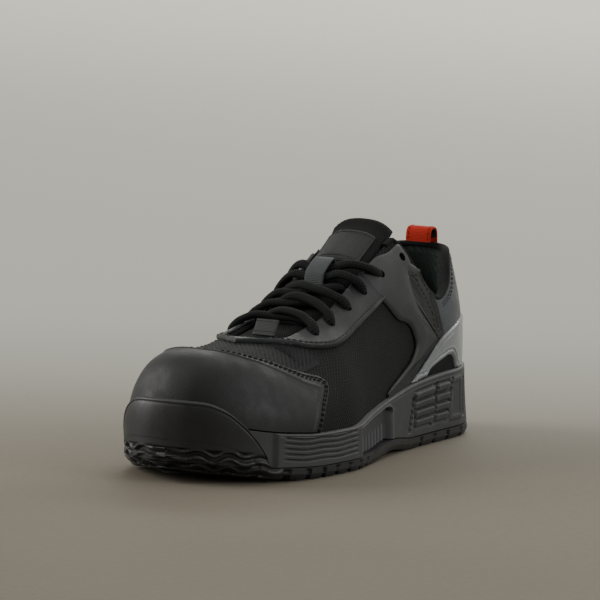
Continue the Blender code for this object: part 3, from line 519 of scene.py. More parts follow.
def counter_top(side, station):
    return np.maximum(share_at_height(station, along(COUNTER_EDGE, 1, station)),
                      above_lip(side, station))


def lining_low(side, station):
    return np.maximum(upper_edge(side, station) - COLLAR_DEPTH, 0.12)


def tongue_point(side, station, across, depth):
    """The tongue's surface at a distance from its middle, depth below the upper's inner face."""
    side, station, across = np.broadcast_arrays(side, station, np.asarray(across, float))
    share = share_at_width(side, station, across)
    place = upper_point(side, station, share, -UPPER_WALL - 2 * GAP - depth)
    top = ridge(station, -UPPER_WALL - 2 * GAP - depth)[2]
    flat = along(TONGUE_PLAN, 2, station)
    place[..., 2] = top - (top - place[..., 2]) * flat
    return place


def tongue_half(station):
    return THROAT_WIDTH * along(TONGUE_PLAN, 1, station)


def strand(side, start, middle, end, over):
    """A strand from an eyelet over the tongue to the opposite edge, which it ends under.

    over is the share of its length that it runs clear of the eyestay before it sinks.
    """
    first = eyelet_place(side, start)[0][0]
    edge = throat_width(-side, end) - LACE / 2 - 3 * GAP
    last = axis_x(end) - side * edge
    points = []
    for f in np.linspace(0, 1, STRAND_POINTS):
        bend = 4 * f * (1 - f) * (middle - (start + end) / 2)
        sink = LACE_SINK * eased(over, over + 0.33, f) + 2 * GAP * eased(0.7, 1, f)
        points.append(lace_point(first + (last - first) * f, start + (end - start) * f + bend, sink))
    return points


def lace_point(x, station, sink):
    """A point of a lace: sink below the height at which it clears the eyestay."""
    station = np.float64(station)
    across = x - axis_x(station)
    side = 1.0 if across > 0 else -1.0
    share = share_at_width(side, station, abs(across))
    return upper_point(side, station, share, LACE_CLEAR - sink)


def band(start, middle):
    """A strand between the two eyelets of a pair, drawn forwards at its middle."""
    first, last = eyelet_place(1, start)[0][0], eyelet_place(-1, start)[0][0]
    points = []
    for f in np.linspace(0, 1, STRAND_POINTS + 4):
        pull = math.sin(math.pi * f) ** 0.6
        sink = LACE_SINK * eased(0.25, 0.42, min(f, 1 - f))
        points.append(lace_point(first + (last - first) * f, start + (middle - start) * pull, sink))
    return points


# Mesh tools

# Where a grid's edges lie in it
CUTS = {"low": np.s_[0], "high": np.s_[-1], "rear": np.s_[:, 0], "front": np.s_[:, -1]}
EDGES = tuple(CUTS)


class Surface:
    """Points, texture places and faces gathered from grids."""

    def __init__(self):
        self.points, self.places, self.faces, self.count = [], [], [], 0

    def grid(self, points, places=None, closed=False):
        """Adds a grid of points; a closed one also joins its last column to its first."""
        rows, columns = points.shape[:2]
        if places is None:
            places = np.stack(travel(points), axis=-1)
        index = np.arange(rows * columns).reshape(rows, columns) + self.count
        if closed:
            index = np.concatenate([index, index[:, :1]], axis=1)
        quads = np.stack([index[:-1, :-1], index[:-1, 1:], index[1:, 1:], index[1:, :-1]], -1)
        self.points.append(points.reshape(-1, 3))
        self.places.append(places.reshape(-1, 2))
        self.faces.append(quads.reshape(-1, 4))
        self.count += rows * columns

    def slab(self, outer, inner, edges=EDGES):
        """Adds two grids and closes the gap between them along the named edges."""
        places = np.stack(travel(outer), axis=-1)
        self.grid(outer, places)
        self.grid(inner, places)
        for cut in (CUTS[name] for name in edges):
            self.grid(np.stack([outer[cut], inner[cut]]), np.stack([places[cut], places[cut]]))

    def mesh(self, name):
        """The gathered surface as a welded mesh."""
        mesh = bpy.data.meshes.new(name)
        faces = np.concatenate(self.faces)
        mesh.from_pydata(np.concatenate(self.points).tolist(), [], faces.tolist())
        layer = mesh.uv_layers.new(name="UVMap")
        layer.data.foreach_set("uv", np.concatenate(self.places)[faces.ravel()].ravel())
        shape = bmesh.new()
        shape.from_mesh(mesh)
        bmesh.ops.remove_doubles(shape, verts=shape.verts, dist=WELD)
        bmesh.ops.dissolve_degenerate(shape, edges=shape.edges, dist=WELD)
        bmesh.ops.recalc_face_normals(shape, faces=shape.faces)
        shape.to_mesh(mesh)
        shape.free()
        return mesh

    def piece(self, name, material, slot, replaced=()):
        """The gathered surface as a piece that rides on the shoe."""
        mesh = self.mesh(name)
        mesh.shade_smooth()
        mesh.set_sharp_from_angle(angle=SHARP)
        mesh.materials.append(material)
        made = bpy.data.objects.new(name, mesh)
        bpy.context.scene.collection.objects.link(made)
        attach(made, "root")
        if replaced:
            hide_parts(*replaced)
        return made


def travel(points):
    """How far each point of a grid lies from its row's and from its column's start."""
    along_rows = np.linalg.norm(np.diff(points, axis=1, prepend=points[:, :1]), axis=-1)
    up_columns = np.linalg.norm(np.diff(points, axis=0, prepend=points[:1]), axis=-1)
    return np.cumsum(along_rows, axis=1), np.cumsum(up_columns, axis=0)


def run_of(line):
    """How far each point of a line lies along it."""
    steps = np.linalg.norm(np.diff(line[:, :3], axis=0), axis=1)
    return np.concatenate([[0], np.cumsum(steps)])


def resampled(line, pitch):
    """Points at equal steps along a line."""
    run = run_of(line)
    at = np.linspace(0, run[-1], max(3, int(round(run[-1] / pitch)) + 1))
    return np.stack([np.interp(at, run, column) for column in line.T], axis=1)


def distance_to(points, line, pitch=0.0006):
    """How far each point of a grid lies from a line."""
    found = np.full(points.shape[:-1], 1.0)
    for p in resampled(line, pitch):
        found = np.minimum(found, np.linalg.norm(points - p, axis=-1))
    return found


def hump(value, middle, half):
    """A smooth hump of height 1 round middle, 0 beyond half from it."""
    return np.cos(np.clip((value - middle) / half, -1, 1) * math.pi / 2) ** 2


def spaced(count, rim=0.03, rows=4):
    """Values from 0 to 1, closer together near both ends."""
    near = rim * np.arange(rows) / rows
    return np.concatenate([near, np.linspace(rim, 1 - rim, count), 1 - near[::-1]])


def patch(side, rear, front, low, high, ups, across):
    """Stations and shares of a grid spread between a panel's four edges."""
    up = ups[:, None] + 0 * across
    share = 0.07 + 0.8 * up
    for _ in range(40):
        back, ahead = rear(side, share), front(side, share)
        station = back + (ahead - back) * across
        bottom, top = low(side, station), high(side, station)
        share = 0.5 * share + 0.5 * (bottom + (top - bottom) * up)
    return station, share


def from_edges(points, edges):
    """How far each point of a grid lies from the nearest of its named edges."""
    return np.minimum.reduce([distance_to(points, points[CUTS[name]]) for name in edges])


def rounded(distance, rim=RIM):
    """A quarter circle, from 0 at an edge to 1 at rim and beyond."""
    return np.sqrt(1 - (1 - np.clip(distance / rim, 0, 1)) ** 2)


def upper_normal(side, station, share):
    """The upper's outward normal at places on it."""
    up = upper_point(side, station, share + 0.004) - upper_point(side, station, share - 0.004)
    ahead = upper_point(side, station + 0.002, share) - upper_point(side, station - 0.002, share)
    return unit(np.cross(up, ahead) * side)


def beside(side, station, share, distance):
    """A line on the upper moved sideways on its surface by a distance."""
    step = 1e-3
    by_station = (upper_point(side, station + step, share)
                  - upper_point(side, station - step, share)) / (2 * step)
    by_share = (upper_point(side, station, share + step)
                - upper_point(side, station, share - step)) / (2 * step)
    line = upper_point(side, station, share)
    ahead = unit(np.gradient(line, axis=0))
    way = np.cross(upper_normal(side, station, share), ahead) * distance
    a = (by_station ** 2).sum(axis=1)
    b = (by_station * by_share).sum(axis=1)
    c = (by_share ** 2).sum(axis=1)
    p = (way * by_station).sum(axis=1)
    q = (way * by_share).sum(axis=1)
    room = np.maximum(a * c - b * b, 1e-9)
    return station + (p * c - q * b) / room, share + (q * a - p * b) / room


def sweep(surface, line, widths, heights, normals, sides=12):
    """An oval cord or band along a line, closed at both ends."""
    line, normals = np.asarray(line, float), np.asarray(normals, float)
    widths = np.broadcast_to(widths, len(line))
    heights = np.broadcast_to(heights, len(line))
    ahead = unit(np.gradient(line, axis=0))
    across = unit(np.cross(normals, ahead))
    up = np.cross(ahead, across)
    turn = np.arange(sides) * 2 * math.pi / sides
    ring = (line[:, None]
            + across[:, None] * (np.cos(turn)[:, None] * widths[:, None, None] / 2)
            + up[:, None] * (np.sin(turn)[:, None] * heights[:, None, None] / 2))
    run = run_of(line)
    places = np.stack([run[:, None] + 0 * turn, 0.01 * turn / (2 * math.pi) + 0 * run[:, None]],
                      axis=-1)
    ends = [np.repeat(line[[k]], sides, axis=0)[None] for k in (0, -1)]
    ring = np.concatenate([ends[0], ring, ends[1]])
    places = np.concatenate([places[:1], places, places[-1:]])
    surface.grid(ring, places, closed=True)


def add_stitches(surface, line, normals, pitch=STITCH_PITCH, size=STITCH):
    """A row of stitches along a line."""
    both = resampled(np.concatenate([line, normals], axis=1), pitch)
    points, ways = both[:, :3], both[:, 3:]
    ahead = unit(np.gradient(points, axis=0))
    steps = np.linspace(-1, 1, 5)
    for p, way, out in zip(points, ahead, ways):
        path = (p + way * (steps * STITCH_LENGTH / 2)[:, None]
                + out * (0.3 * size * (1 - 1.6 * steps ** 4))[:, None])
        thick = size * np.array([0.4, 0.9, 1.0, 0.9, 0.4])
        sweep(surface, path, thick, thick * 0.8, np.repeat(out[None], 5, axis=0), sides=6)


def sew(surface, side, station, share, offset, moved=0.0, pitch=STITCH_PITCH, size=STITCH):
    """A row of stitches on the upper, beside a line on it."""
    if moved:
        station, share = beside(side, station, share, moved)
    add_stitches(surface, upper_point(side, station, share, offset),
                 upper_normal(side, station, share), pitch, size)


# Materials

class Finish:
    """A node material whose patterns are measured in metres on the object."""

    def __init__(self, name, roughness, **sockets):
        self.material = bpy.data.materials.new(name)
        self.material.use_nodes = True
        self.nodes = self.material.node_tree.nodes
        self.links = self.material.node_tree.links
        self.shader = self.nodes["Principled BSDF"]
        self.shader.inputs["Roughness"].default_value = roughness
        for socket, value in sockets.items():
            self.shader.inputs[socket.replace("_", " ")].default_value = value
        self.place = self.nodes.new("ShaderNodeTexCoord").outputs["Object"]
        self.uv = self.nodes.new("ShaderNodeTexCoord").outputs["UV"]

    def put(self, socket, value):
        if isinstance(value, bpy.types.NodeSocket):
            self.links.new(value, socket)
        else:
            socket.default_value = value

    def maths(self, operation, a, b=0.0):
        node = self.nodes.new("ShaderNodeMath")
        node.operation = operation
        for socket, value in zip(node.inputs, (a, b)):
            self.put(socket, value)
        return node.outputs[0]

    def noise(self, size, detail=3.0):
        """Soft noise of a feature size, from 0 to 1."""
        node = self.nodes.new("ShaderNodeTexNoise")
        node.inputs["Scale"].default_value = 1 / size
        node.inputs["Detail"].default_value = detail
        self.links.new(self.place, node.inputs["Vector"])
        return node.outputs["Fac"]

    def cells(self, size):
        """Distance in a field of cells of this size."""
        node = self.nodes.new("ShaderNodeTexVoronoi")
        node.inputs["Scale"].default_value = 1 / size
        self.links.new(self.place, node.inputs["Vector"])
        return node.outputs["Distance"]

    def wave(self, direction, period, source=None):
        """A sine wave, from -1 to 1, with its crests this far apart along a direction."""
        length = math.sqrt(sum(v * v for v in direction))
        node = self.nodes.new("ShaderNodeVectorMath")
        node.operation = "DOT_PRODUCT"
        self.put(node.inputs[0], source or self.place)
        node.inputs[1].default_value = [v * 2 * math.pi / (period * length) for v in direction]
        return self.maths("SINE", node.outputs["Value"])

    def ranged(self, value, low, high, to_low=0.0, to_high=1.0):
        node = self.nodes.new("ShaderNodeMapRange")
        node.interpolation_type = "SMOOTHSTEP"
        for socket, number in zip(node.inputs, (value, low, high, to_low, to_high)):
            self.put(socket, number)
        return node.outputs[0]

    def mixed(self, factor, first, second):
        node = self.nodes.new("ShaderNodeMix")
        node.data_type = "RGBA"
        self.put(node.inputs[0], factor)
        for socket, value in ((node.inputs[6], first), (node.inputs[7], second)):
            self.put(socket, (*value, 1) if isinstance(value, tuple) else value)
        return node.outputs[2]

    def spotted(self, tone, other, size, low, high, most=1.0, detail=3.0):
        """Another colour, mixed in where noise of a size lies above low."""
        return self.mixed(self.ranged(self.noise(size, detail), low, high, 0, most), tone, other)

    def axis(self, name):
        node = self.nodes.new("ShaderNodeSeparateXYZ")
        self.links.new(self.place, node.inputs[0])
        return node.outputs[name]

    def edges(self):
        """1 on raised edges, 0 in the open and in hollows."""
        node = self.nodes.new("ShaderNodeNewGeometry")
        return self.ranged(node.outputs["Pointiness"], 0.505, 0.56)

    def relief(self, *layers):
        """Bump from (height, depth in metres) layers."""
        normal = None
        for height, depth in layers:
            node = self.nodes.new("ShaderNodeBump")
            node.inputs["Strength"].default_value = 1.0
            node.inputs["Distance"].default_value = depth
            self.put(node.inputs["Height"], height)
            if normal is not None:
                self.links.new(normal, node.inputs["Normal"])
            normal = node.outputs[0]
        self.links.new(normal, self.shader.inputs["Normal"])

    def colour(self, value):
        self.put(self.shader.inputs["Base Color"],
                 (*value, 1) if isinstance(value, tuple) else value)

    def roughness(self, value):
        self.put(self.shader.inputs["Roughness"], value)


def scaled(colour, factor):
    return tuple(v * factor for v in colour)


def grained(name, colour, roughness, grain=0.0009, depth=0.00006, edge_highlight_and_wear=1.6, dust=0.25, **sockets):
    """Moulded rubber or coated leather: a fine pebble, soft patches, and paler raised edges, a
    painted highlight that also stands for wear.
    """
    made = Finish(name, roughness, **sockets)
    tone = made.spotted(scaled(colour, 0.90), scaled(colour, 1.10), 0.022, 0.3, 0.7)
    # Paler raised edges: a painted highlight along them, partly also wear.
    tone = made.mixed(made.maths("MULTIPLY", made.edges(), 0.7), tone, scaled(colour, edge_highlight_and_wear))
    made.colour(made.spotted(tone, scaled(colour, 1.8), 0.0011, 0.62, 0.85, dust, 4))
    made.roughness(made.ranged(made.noise(0.009), 0.3, 0.7, roughness - 0.05, roughness + 0.07))
    made.relief((made.cells(grain), depth), (made.noise(0.0004, 2), depth * 0.5))
    return made.material


def woven(name, colour, roughness, period=0.0011, ways=((0, 1, 0.6), (0, 1, -0.6)), depth=0.00018,
          deep=0.45, **sockets):
    """A fabric of two crossing sets of yarns."""
    made = Finish(name, roughness, **sockets)
    first, second = (made.wave(way, period) for way in ways)
    yarns = made.maths("MAXIMUM", first, second)
    raised = made.ranged(yarns, -0.4, 1.0)
    tone = made.mixed(raised, scaled(colour, deep), scaled(colour, 1.25))
    tone = made.spotted(tone, scaled(colour, 0.7), 0.015, 0.35, 0.7, 0.35)
    made.colour(made.spotted(tone, scaled(colour, 1.9), 0.0007, 0.6, 0.8, 0.4, 4))
    made.relief((raised, depth), (made.noise(0.0003, 2), depth * 0.25))
    return made.material


def webbed(name, colour, roughness, across=(1, 0, 0), along_way=(0, 0.5, 0.8), **sockets):
    """A tightly woven strap with fine ribs across its run."""
    made = Finish(name, roughness, **sockets)
    ribs = made.wave(along_way, 0.0009)
    threads = made.wave(across, 0.0006)
    raised = made.ranged(made.maths("ADD", ribs, made.maths("MULTIPLY", threads, 0.6)), -1.4, 1.4)
    tone = made.mixed(raised, scaled(colour, 0.6), scaled(colour, 1.15))
    made.colour(made.spotted(tone, scaled(colour, 0.7), 0.004, 0.3, 0.7, 0.3))
    made.relief((raised, 0.00014))
    return made.material


def braided(name, colour, roughness, **sockets):
    """A round braid, measured along and round the cord."""
    made = Finish(name, roughness, **sockets)
    first = made.wave((1, 0.7, 0), 0.0013, made.uv)
    second = made.wave((1, -0.7, 0), 0.0013, made.uv)
    raised = made.ranged(made.maths("MAXIMUM", first, second), -0.3, 1.0)
    tone = made.mixed(raised, scaled(colour, 0.4), scaled(colour, 1.5))
    made.colour(made.spotted(tone, scaled(colour, 2.6), 0.0008, 0.55, 0.8, 0.5, 4))
    made.relief((raised, 0.0002))
    return made.material


MESH_BLACK = (0.0160, 0.0163, 0.0163)
SYNTHETIC = (0.029, 0.030, 0.0305)
BAND_GREY = (0.018, 0.0188, 0.019)
EYESTAY_GREY = (0.0155, 0.0180, 0.0176)
RUBBER = (0.0430, 0.0436, 0.0442)
CAP_BLACK = (0.0115, 0.0119, 0.0121)
BUMPER_BLACK = (0.0165, 0.0170, 0.0175)
COUNTER_GREY = (0.178, 0.187, 0.193)
PANEL_BLUE = (0.044, 0.048, 0.056)
LINING_GREEN = (0.0215, 0.0270, 0.0245)
LACE_BLACK = (0.0098, 0.0106, 0.0102)
RED = (0.58, 0.022, 0.006)

FINISH = {
    "mesh": woven("side_mesh", MESH_BLACK, 0.85, 0.0019, ((0, 1, 0.75), (0, 1, -0.75)), 0.00028,
                  0.35, Specular_IOR_Level=0.25),
    "knit": woven("vamp_knit", (0.0145, 0.0158, 0.0158), 0.8, 0.0008,
                  ((0, 1, 0), (1, 0, 0)), 0.00008, 0.6, Specular_IOR_Level=0.3),
    "cap": grained("cap_leather", CAP_BLACK, 0.56, 0.0010, 0.00005, 1.9, 0.12,
                   Specular_IOR_Level=0.45),
    "stay": grained("stay_synthetic", EYESTAY_GREY, 0.50, 0.0007, 0.00003, 2.2, 0.1,
                    Specular_IOR_Level=0.45),
    "saddle": grained("saddle_synthetic", SYNTHETIC, 0.52, 0.0008, 0.00003, 1.8, 0.1,
                      Specular_IOR_Level=0.45),
    "band": grained("saddle_band", BAND_GREY, 0.60, 0.0008, 0.00004, 1.8, 0.1,
                    Specular_IOR_Level=0.35),
    "counter": grained("counter_plastic", COUNTER_GREY, 0.32, 0.0006, 0.00001, 1.7, 0.08,
                       Coat_Weight=0.25, Coat_Roughness=0.18),
    "window": woven("window_fabric", (0.0080, 0.0095, 0.0090), 0.8, 0.0012,
                    ((0, 1, 0.75), (0, 1, -0.75)), 0.0002, 0.4, Specular_IOR_Level=0.25),
    "panel": grained("heel_panel_leather", PANEL_BLUE, 0.45, 0.0007, 0.00003, 1.5, 0.08),
    "midsole": grained("midsole_foam", RUBBER, 0.58, 0.0005, 0.00004, 2.6, 0.35,
                       Specular_IOR_Level=0.4),
    "outsole": grained("outsole_rubber", BUMPER_BLACK, 0.47, 0.0006, 0.00003, 3.0, 0.2,
                       Specular_IOR_Level=0.45),
    "lining": woven("lining_fabric", LINING_GREEN, 0.95, 0.0010, ((1, 1, 0.3), (0.3, -0.6, 1)),
                    0.0002, 0.5, Specular_IOR_Level=0.15),
    "tongue": woven("tongue_fabric", MESH_BLACK, 0.9, 0.0012, ((1, 0.4, 0.3), (-1, 0.4, 0.3)),
                    0.0002, 0.5, Specular_IOR_Level=0.2),
    "binding": webbed("binding_tape", (0.0085, 0.0100, 0.0092), 0.85, Specular_IOR_Level=0.25),
    "lace": braided("lace_braid", LACE_BLACK, 0.85, Specular_IOR_Level=0.2),
    "keeper": webbed("keeper_webbing", (0.046, 0.052, 0.056), 0.55),
    "label": webbed("label_cloth", (0.0085, 0.0098, 0.0102), 0.6),
    "tag": webbed("tag_cloth", (0.030, 0.031, 0.033), 0.6),
    "loop": webbed("loop_webbing", RED, 0.7, (1, 0, 0), (0, 0.15, 1), Specular_IOR_Level=0.25),
    # Near-black inner layer of the pull loop: painted shade in the gap between its legs.
    "loop_gap_shade": webbed("loop_gap_painted_shade", (0.012, 0.013, 0.013), 0.7),
    "dark_thread": webbed("dark_thread", (0.004, 0.004, 0.004), 0.7, Specular_IOR_Level=0.2),
    "thread": webbed("thread", (0.026, 0.027, 0.027), 0.6),
    "pale_thread": webbed("pale_thread", (0.040, 0.042, 0.042), 0.6),
    "loop_thread": webbed("loop_thread", (0.28, 0.012, 0.004), 0.7, Specular_IOR_Level=0.25),
    "insole": woven("insole_fabric", (0.018, 0.0185, 0.019), 0.9, 0.0016,
                    ((1, 1, 0), (1, -1, 0)), 0.0002, 0.5, Specular_IOR_Level=0.2),
}


# The upper

def build_upper():
    """The hollow fabric shell that everything else is fused or sewn to."""
    surface = Surface()
    station = np.linspace(0, 1, 220)
    up = np.linspace(0, 1, 60)[:, None]
    for side in (1, -1):
        share = up * upper_edge(side, station)
        outer = upper_point(side, station, share)
        surface.slab(outer, upper_point(side, station, share, -UPPER_WALL), ("low", "high"))
    made = surface.piece("upper_shell", FINISH["mesh"], "upper", ("upper",))
    punch(made, EYELETS)
    return made


def eyelet_pins(places):
    """Round pins through the eyelets, for punching."""
    surface = Surface()
    for station in places:
        for side in (1, -1):
            place, way = eyelet_place(side, station)
            line = np.array([place - way * 0.006, place + way * 0.005])
            sweep(surface, line, EYELET, EYELET, np.array([[0.3, 0.9, 0.3]] * 2), 20)
    return bpy.data.objects.new("pins", surface.mesh("pins"))


def punch(target, places):
    """Cuts the eyelets out of a piece."""
    pins = eyelet_pins(places)
    bpy.context.scene.collection.objects.link(pins)
    modifier = target.modifiers.new("punch", "BOOLEAN")
    modifier.object = pins
    modifier.solver = "EXACT"
    depsgraph = bpy.context.evaluated_depsgraph_get()
    cut = bpy.data.meshes.new_from_object(target.evaluated_get(depsgraph))
    target.modifiers.clear()
    target.data = cut
    bpy.data.objects.remove(pins)


def build_vamp():
    """The ribbed knit between the toe cap and the throat."""
    surface = Surface()
    ups = np.linspace(0, 1, 150)
    across = np.linspace(0, 1, 50)
    for side in (1, -1):
        station, share = patch(side, lambda d, s: 0.69 + 0 * s,
                               lambda d, s: along(CAP_EDGE, 1, s) + 0.012,
                               lambda d, s: 0.50 + 0 * s, upper_edge, ups, across)
        middle = upper_point(side, station, share, 0.0001)
        ribs = np.cos((0.825 * middle[..., 0] + 0.566 * middle[..., 1])
                      * 2 * math.pi / 0.0024)
        lift = 0.0003 + 0.00028 * ribs * eased(0.50, 0.58, share)
        surface.slab(upper_point(side, station, share, lift), middle, EDGES[:1])
    surface.piece("vamp_knit", FINISH["knit"], "upper")


def cap_rear(side, share):
    return along(CAP_EDGE, 1, share)


def build_toe_cap():
    surface, thread = Surface(), Surface()
    ups = np.linspace(0, 1, 90)
    across = np.concatenate([np.linspace(0, 0.12, 24), np.linspace(0.12, 1, 70)[1:]])
    border = np.linspace(0.05, 0.985, 160)
    for side in (1, -1):
        station, share = patch(side, cap_rear, lambda d, s: 0 * s + 1, above_lip, upper_edge,
                               ups, across)
        middle = upper_point(side, station, share, GAP)
        inside = from_edges(middle, ("rear",))
        lift = (OVERLAY * (0.3 + 0.7 * rounded(inside)) - 0.00035 * hump(inside, 0.0026, 0.0016)
                + 0.0008 * eased(0.0066, 0.0078, inside) + 0.0006 * hump(inside, 0.0078, 0.0012)
                - 0.0002 * eased(0.0085, 0.0130, inside))
        surface.slab(upper_point(side, station, share, GAP + lift), middle, ("rear",))
        for moved in (0.0018, 0.0034):
            keep = border < 0.93
            sew(thread, side, cap_rear(side, border)[keep], border[keep], GAP + OVERLAY,
                moved * side, 0.0032)
    surface.piece("toe_cap_shell", FINISH["cap"], "toe_cap", ("toe_cap",))
    thread.piece("toe_cap_stitches", FINISH["dark_thread"], "toe_cap")


def stay_rear(side, share):
    return along(SADDLE, 2, share) - 0.004


def build_eyestay():
    surface, thread = Surface(), Surface()
    ups, across = spaced(40), spaced(100, 0.02)
    for side in (1, -1):
        station, share = patch(side, stay_rear, lambda d, s: 0 * s + STAY_FRONT, eyestay_low,
                               upper_edge, ups, across)
        middle = upper_point(side, station, share, 2 * GAP)
        low = np.concatenate([middle[0], middle[:, -1]])
        high = middle[-1][station[-1] < THROAT_FRONT + 0.002]
        distance = np.minimum(distance_to(middle, low), distance_to(middle, high))
        roll = rounded(distance)
        notches = np.zeros(station.shape)
        for first, second in zip(EYELETS[:STAY_EYELETS], EYELETS[1:STAY_EYELETS]):
            notches = np.maximum(notches, hump(station, (first + second) / 2, 0.006))
        from_edge = distance_to(middle, high)
        from_low = distance_to(middle, low)
        bead = 0.0007 * hump(from_low, 0.0009, 0.0010) - 0.0003 * hump(from_low, 0.0024, 0.0008)
        lift = (OVERLAY + 0.0004) * (0.3 + 0.7 * roll) + bead
        lift = lift + 0.0007 * notches * (1 - eased(0.003, 0.007, from_edge))
        surface.slab(upper_point(side, station, share, 2 * GAP + lift), middle, EDGES[:3])
        at = np.linspace(0.462, 0.735, 160)
        sew(thread, side, at, eyestay_low(side, at), 3 * GAP + OVERLAY + 0.0002, -0.0030 * side)
    made = surface.piece("eyestay_shell", FINISH["stay"], "eyestay", ("eyestay",))
    punch(made, EYELETS[:STAY_EYELETS])
    thread.piece("eyestay_stitches", FINISH["pale_thread"], "eyestay")


# The saddle's raised face: share of the way up, rear station; then station, lowest share
FACE_REAR = ((0.174, 0.216), (0.214, 0.257), (0.261, 0.293), (0.334, 0.317), (0.408, 0.321),
             (0.465, 0.285), (0.520, 0.266), (1.0, 0.266))
FACE_LOW = ((0.20, 0.176), (0.216, 0.172), (0.261, 0.130), (0.305, 0.090), (0.385, 0.066),
            (0.46, 0.060))
BAND_REAR = ((0.0, 0.335), (0.060, 0.310), (0.090, 0.276), (0.157, 0.219), (0.191, 0.196),
             (0.288, 0.214), (0.388, 0.256), (0.450, 0.262), (1.0, 0.262))


def table_line(table, value):
    at, found = np.array(table).T
    return np.interp(value, at, found)


def rear_line(table, side, share):
    """A rear edge; on the inner side it leans forward with the collar."""
    lean = 0.045 * (side < 0) * eased(0.20, 0.42, share)
    return table_line(table, share) + lean


def face_low(side, station):
    return np.maximum(table_line(FACE_LOW, station), above_lip(side, station))


def band_low(side, station):
    return np.minimum(above_counter(side, station), face_low(side, station) - 0.002)


def face_top(side, station):
    """Below the collar's edge, and level with the throat's further forward."""
    below = 0.050 * (1 - eased(0.345, 0.400, station))
    rear = 0.296 + 0.045 * (side < 0)
    corner = 0.10 * np.clip((rear - station) / 0.030, 0, 1) ** 2.2
    return overlay_top(side, station) - below - corner


def band_top(side, station):
    below = 0.054 * eased(0.280, 0.300, station) * (1 - eased(0.345, 0.400, station))
    return overlay_top(side, station) - below


def build_saddles():
    """The saddle's padded face, over a lower band sewn along its rear."""
    thread = Surface()
    ups, across = spaced(84, 0.02), spaced(48)
    for name, side in (("outer", 1), ("inner", -1)):
        band, face = Surface(), Surface()
        station, share = patch(side, lambda d, s: rear_line(BAND_REAR, d, s),
                               lambda d, s: along(SADDLE, 2, s) - 0.006, band_low, band_top,
                               ups, across)
        middle = upper_point(side, station, share, GAP)
        from_rear = from_edges(middle, ("rear",))
        lift = 0.0010 * rounded(from_rear)
        lift = lift + 0.0005 * hump(from_rear, 0.0030, 0.0016) \
            + 0.0005 * hump(from_rear, 0.0062, 0.0016)
        band.slab(upper_point(side, station, share, GAP + 0.0003 + lift), middle)
        made = band.piece(f"saddle_{name}_band", FINISH["band"], "saddle")
        punch(made, EYELETS[STAY_EYELETS:])
        station, share = patch(side, lambda d, s: rear_line(FACE_REAR, d, s),
                               lambda d, s: along(SADDLE, 2, s), face_low, face_top,
                               ups, across)
        middle = upper_point(side, station, share, 3 * GAP)
        distance = from_edges(middle, EDGES)
        roll = rounded(distance, 0.0020)
        puff = 0.0012 * np.sin(np.clip(distance / 0.011, 0, 1) * math.pi / 2)
        lift = (OVERLAY + 0.0003) * (0.1 + 0.9 * roll) + puff
        face.slab(upper_point(side, station, share, 3 * GAP + lift), middle)
        made = face.piece(f"saddle_{name}_face", FINISH["saddle"], "saddle",
                          (f"saddle_{name}",))
        punch(made, EYELETS[STAY_EYELETS:])
        at = np.linspace(0.20, 0.42, 70)
        for moved in (0.0046, 0.0100):
            sew(thread, side, rear_line(BAND_REAR, side, at), at, GAP + 0.0013, moved * side)
    thread.piece("saddle_stitches", FINISH["pale_thread"], "saddle")


def window_top(side, station):
    """How far up the counter its window reaches, above the lip."""
    rows = [(row[1], row[0]) for row in WINDOW] + [(row[2], row[0]) for row in WINDOW[::-1]]
    at, high = np.array(rows).T
    arch = np.interp(station, at, high)
    return np.maximum(above_lip(side, station), arch)


def build_counter():
    surface = Surface()
    ups, across = spaced(46, 0.05, 5), spaced(150, 0.01, 3)
    for side in (1, -1):
        station, share = patch(side, lambda d, s: 0 * s, lambda d, s: 0 * s + COUNTER_EDGE[-1][0],
                               window_top, counter_top, ups, across)
        middle = upper_point(side, station, share, GAP)
        low, high = middle[0], middle[-1]
        inside = (station[0] > WINDOW[0][1] - 0.004) & (station[0] < WINDOW[0][2] + 0.004)
        from_top, from_arch = distance_to(middle, high), distance_to(middle, low[inside])
        near = np.minimum(from_top, from_arch)
        lift = (OVERLAY + 0.0003) * (0.3 + 0.7 * rounded(near))
        for distance in (from_top, from_arch):
            lift = lift + 0.0004 * hump(distance, 0.0016, 0.0011)
            lift = lift - 0.0003 * hump(distance, 0.0029, 0.0009)
            lift = lift + 0.0003 * hump(distance, 0.0041, 0.0010)
        surface.slab(upper_point(side, station, share, GAP + lift), middle,
                     ("low", "high", "front"))
    surface.piece("heel_counter_shell", FINISH["counter"], "heel_counter", ("heel_counter",))
    surface = Surface()
    for side in (1, -1):
        station = np.linspace(WINDOW[0][1] - 0.012, WINDOW[0][2] + 0.012, 90)
        ups = np.linspace(0, 1, 30)[:, None]
        low = above_lip(side, station) - 0.01
        share = low + (window_top(side, station) + 0.008 - low) * ups
        puff = 0.0004 * np.sin(math.pi * ups) * np.sin(math.pi * np.linspace(0, 1, 90))
        surface.slab(upper_point(side, station, share, 0.0003 + puff),
                     upper_point(side, station, share, 0.0001))
    surface.piece("counter_windows", FINISH["window"], "upper")


PANEL_SHARES = (0.10, 0.191, 0.288, 0.40)
PANEL_FRONT = (0.225, 0.197, 0.215, 0.215)


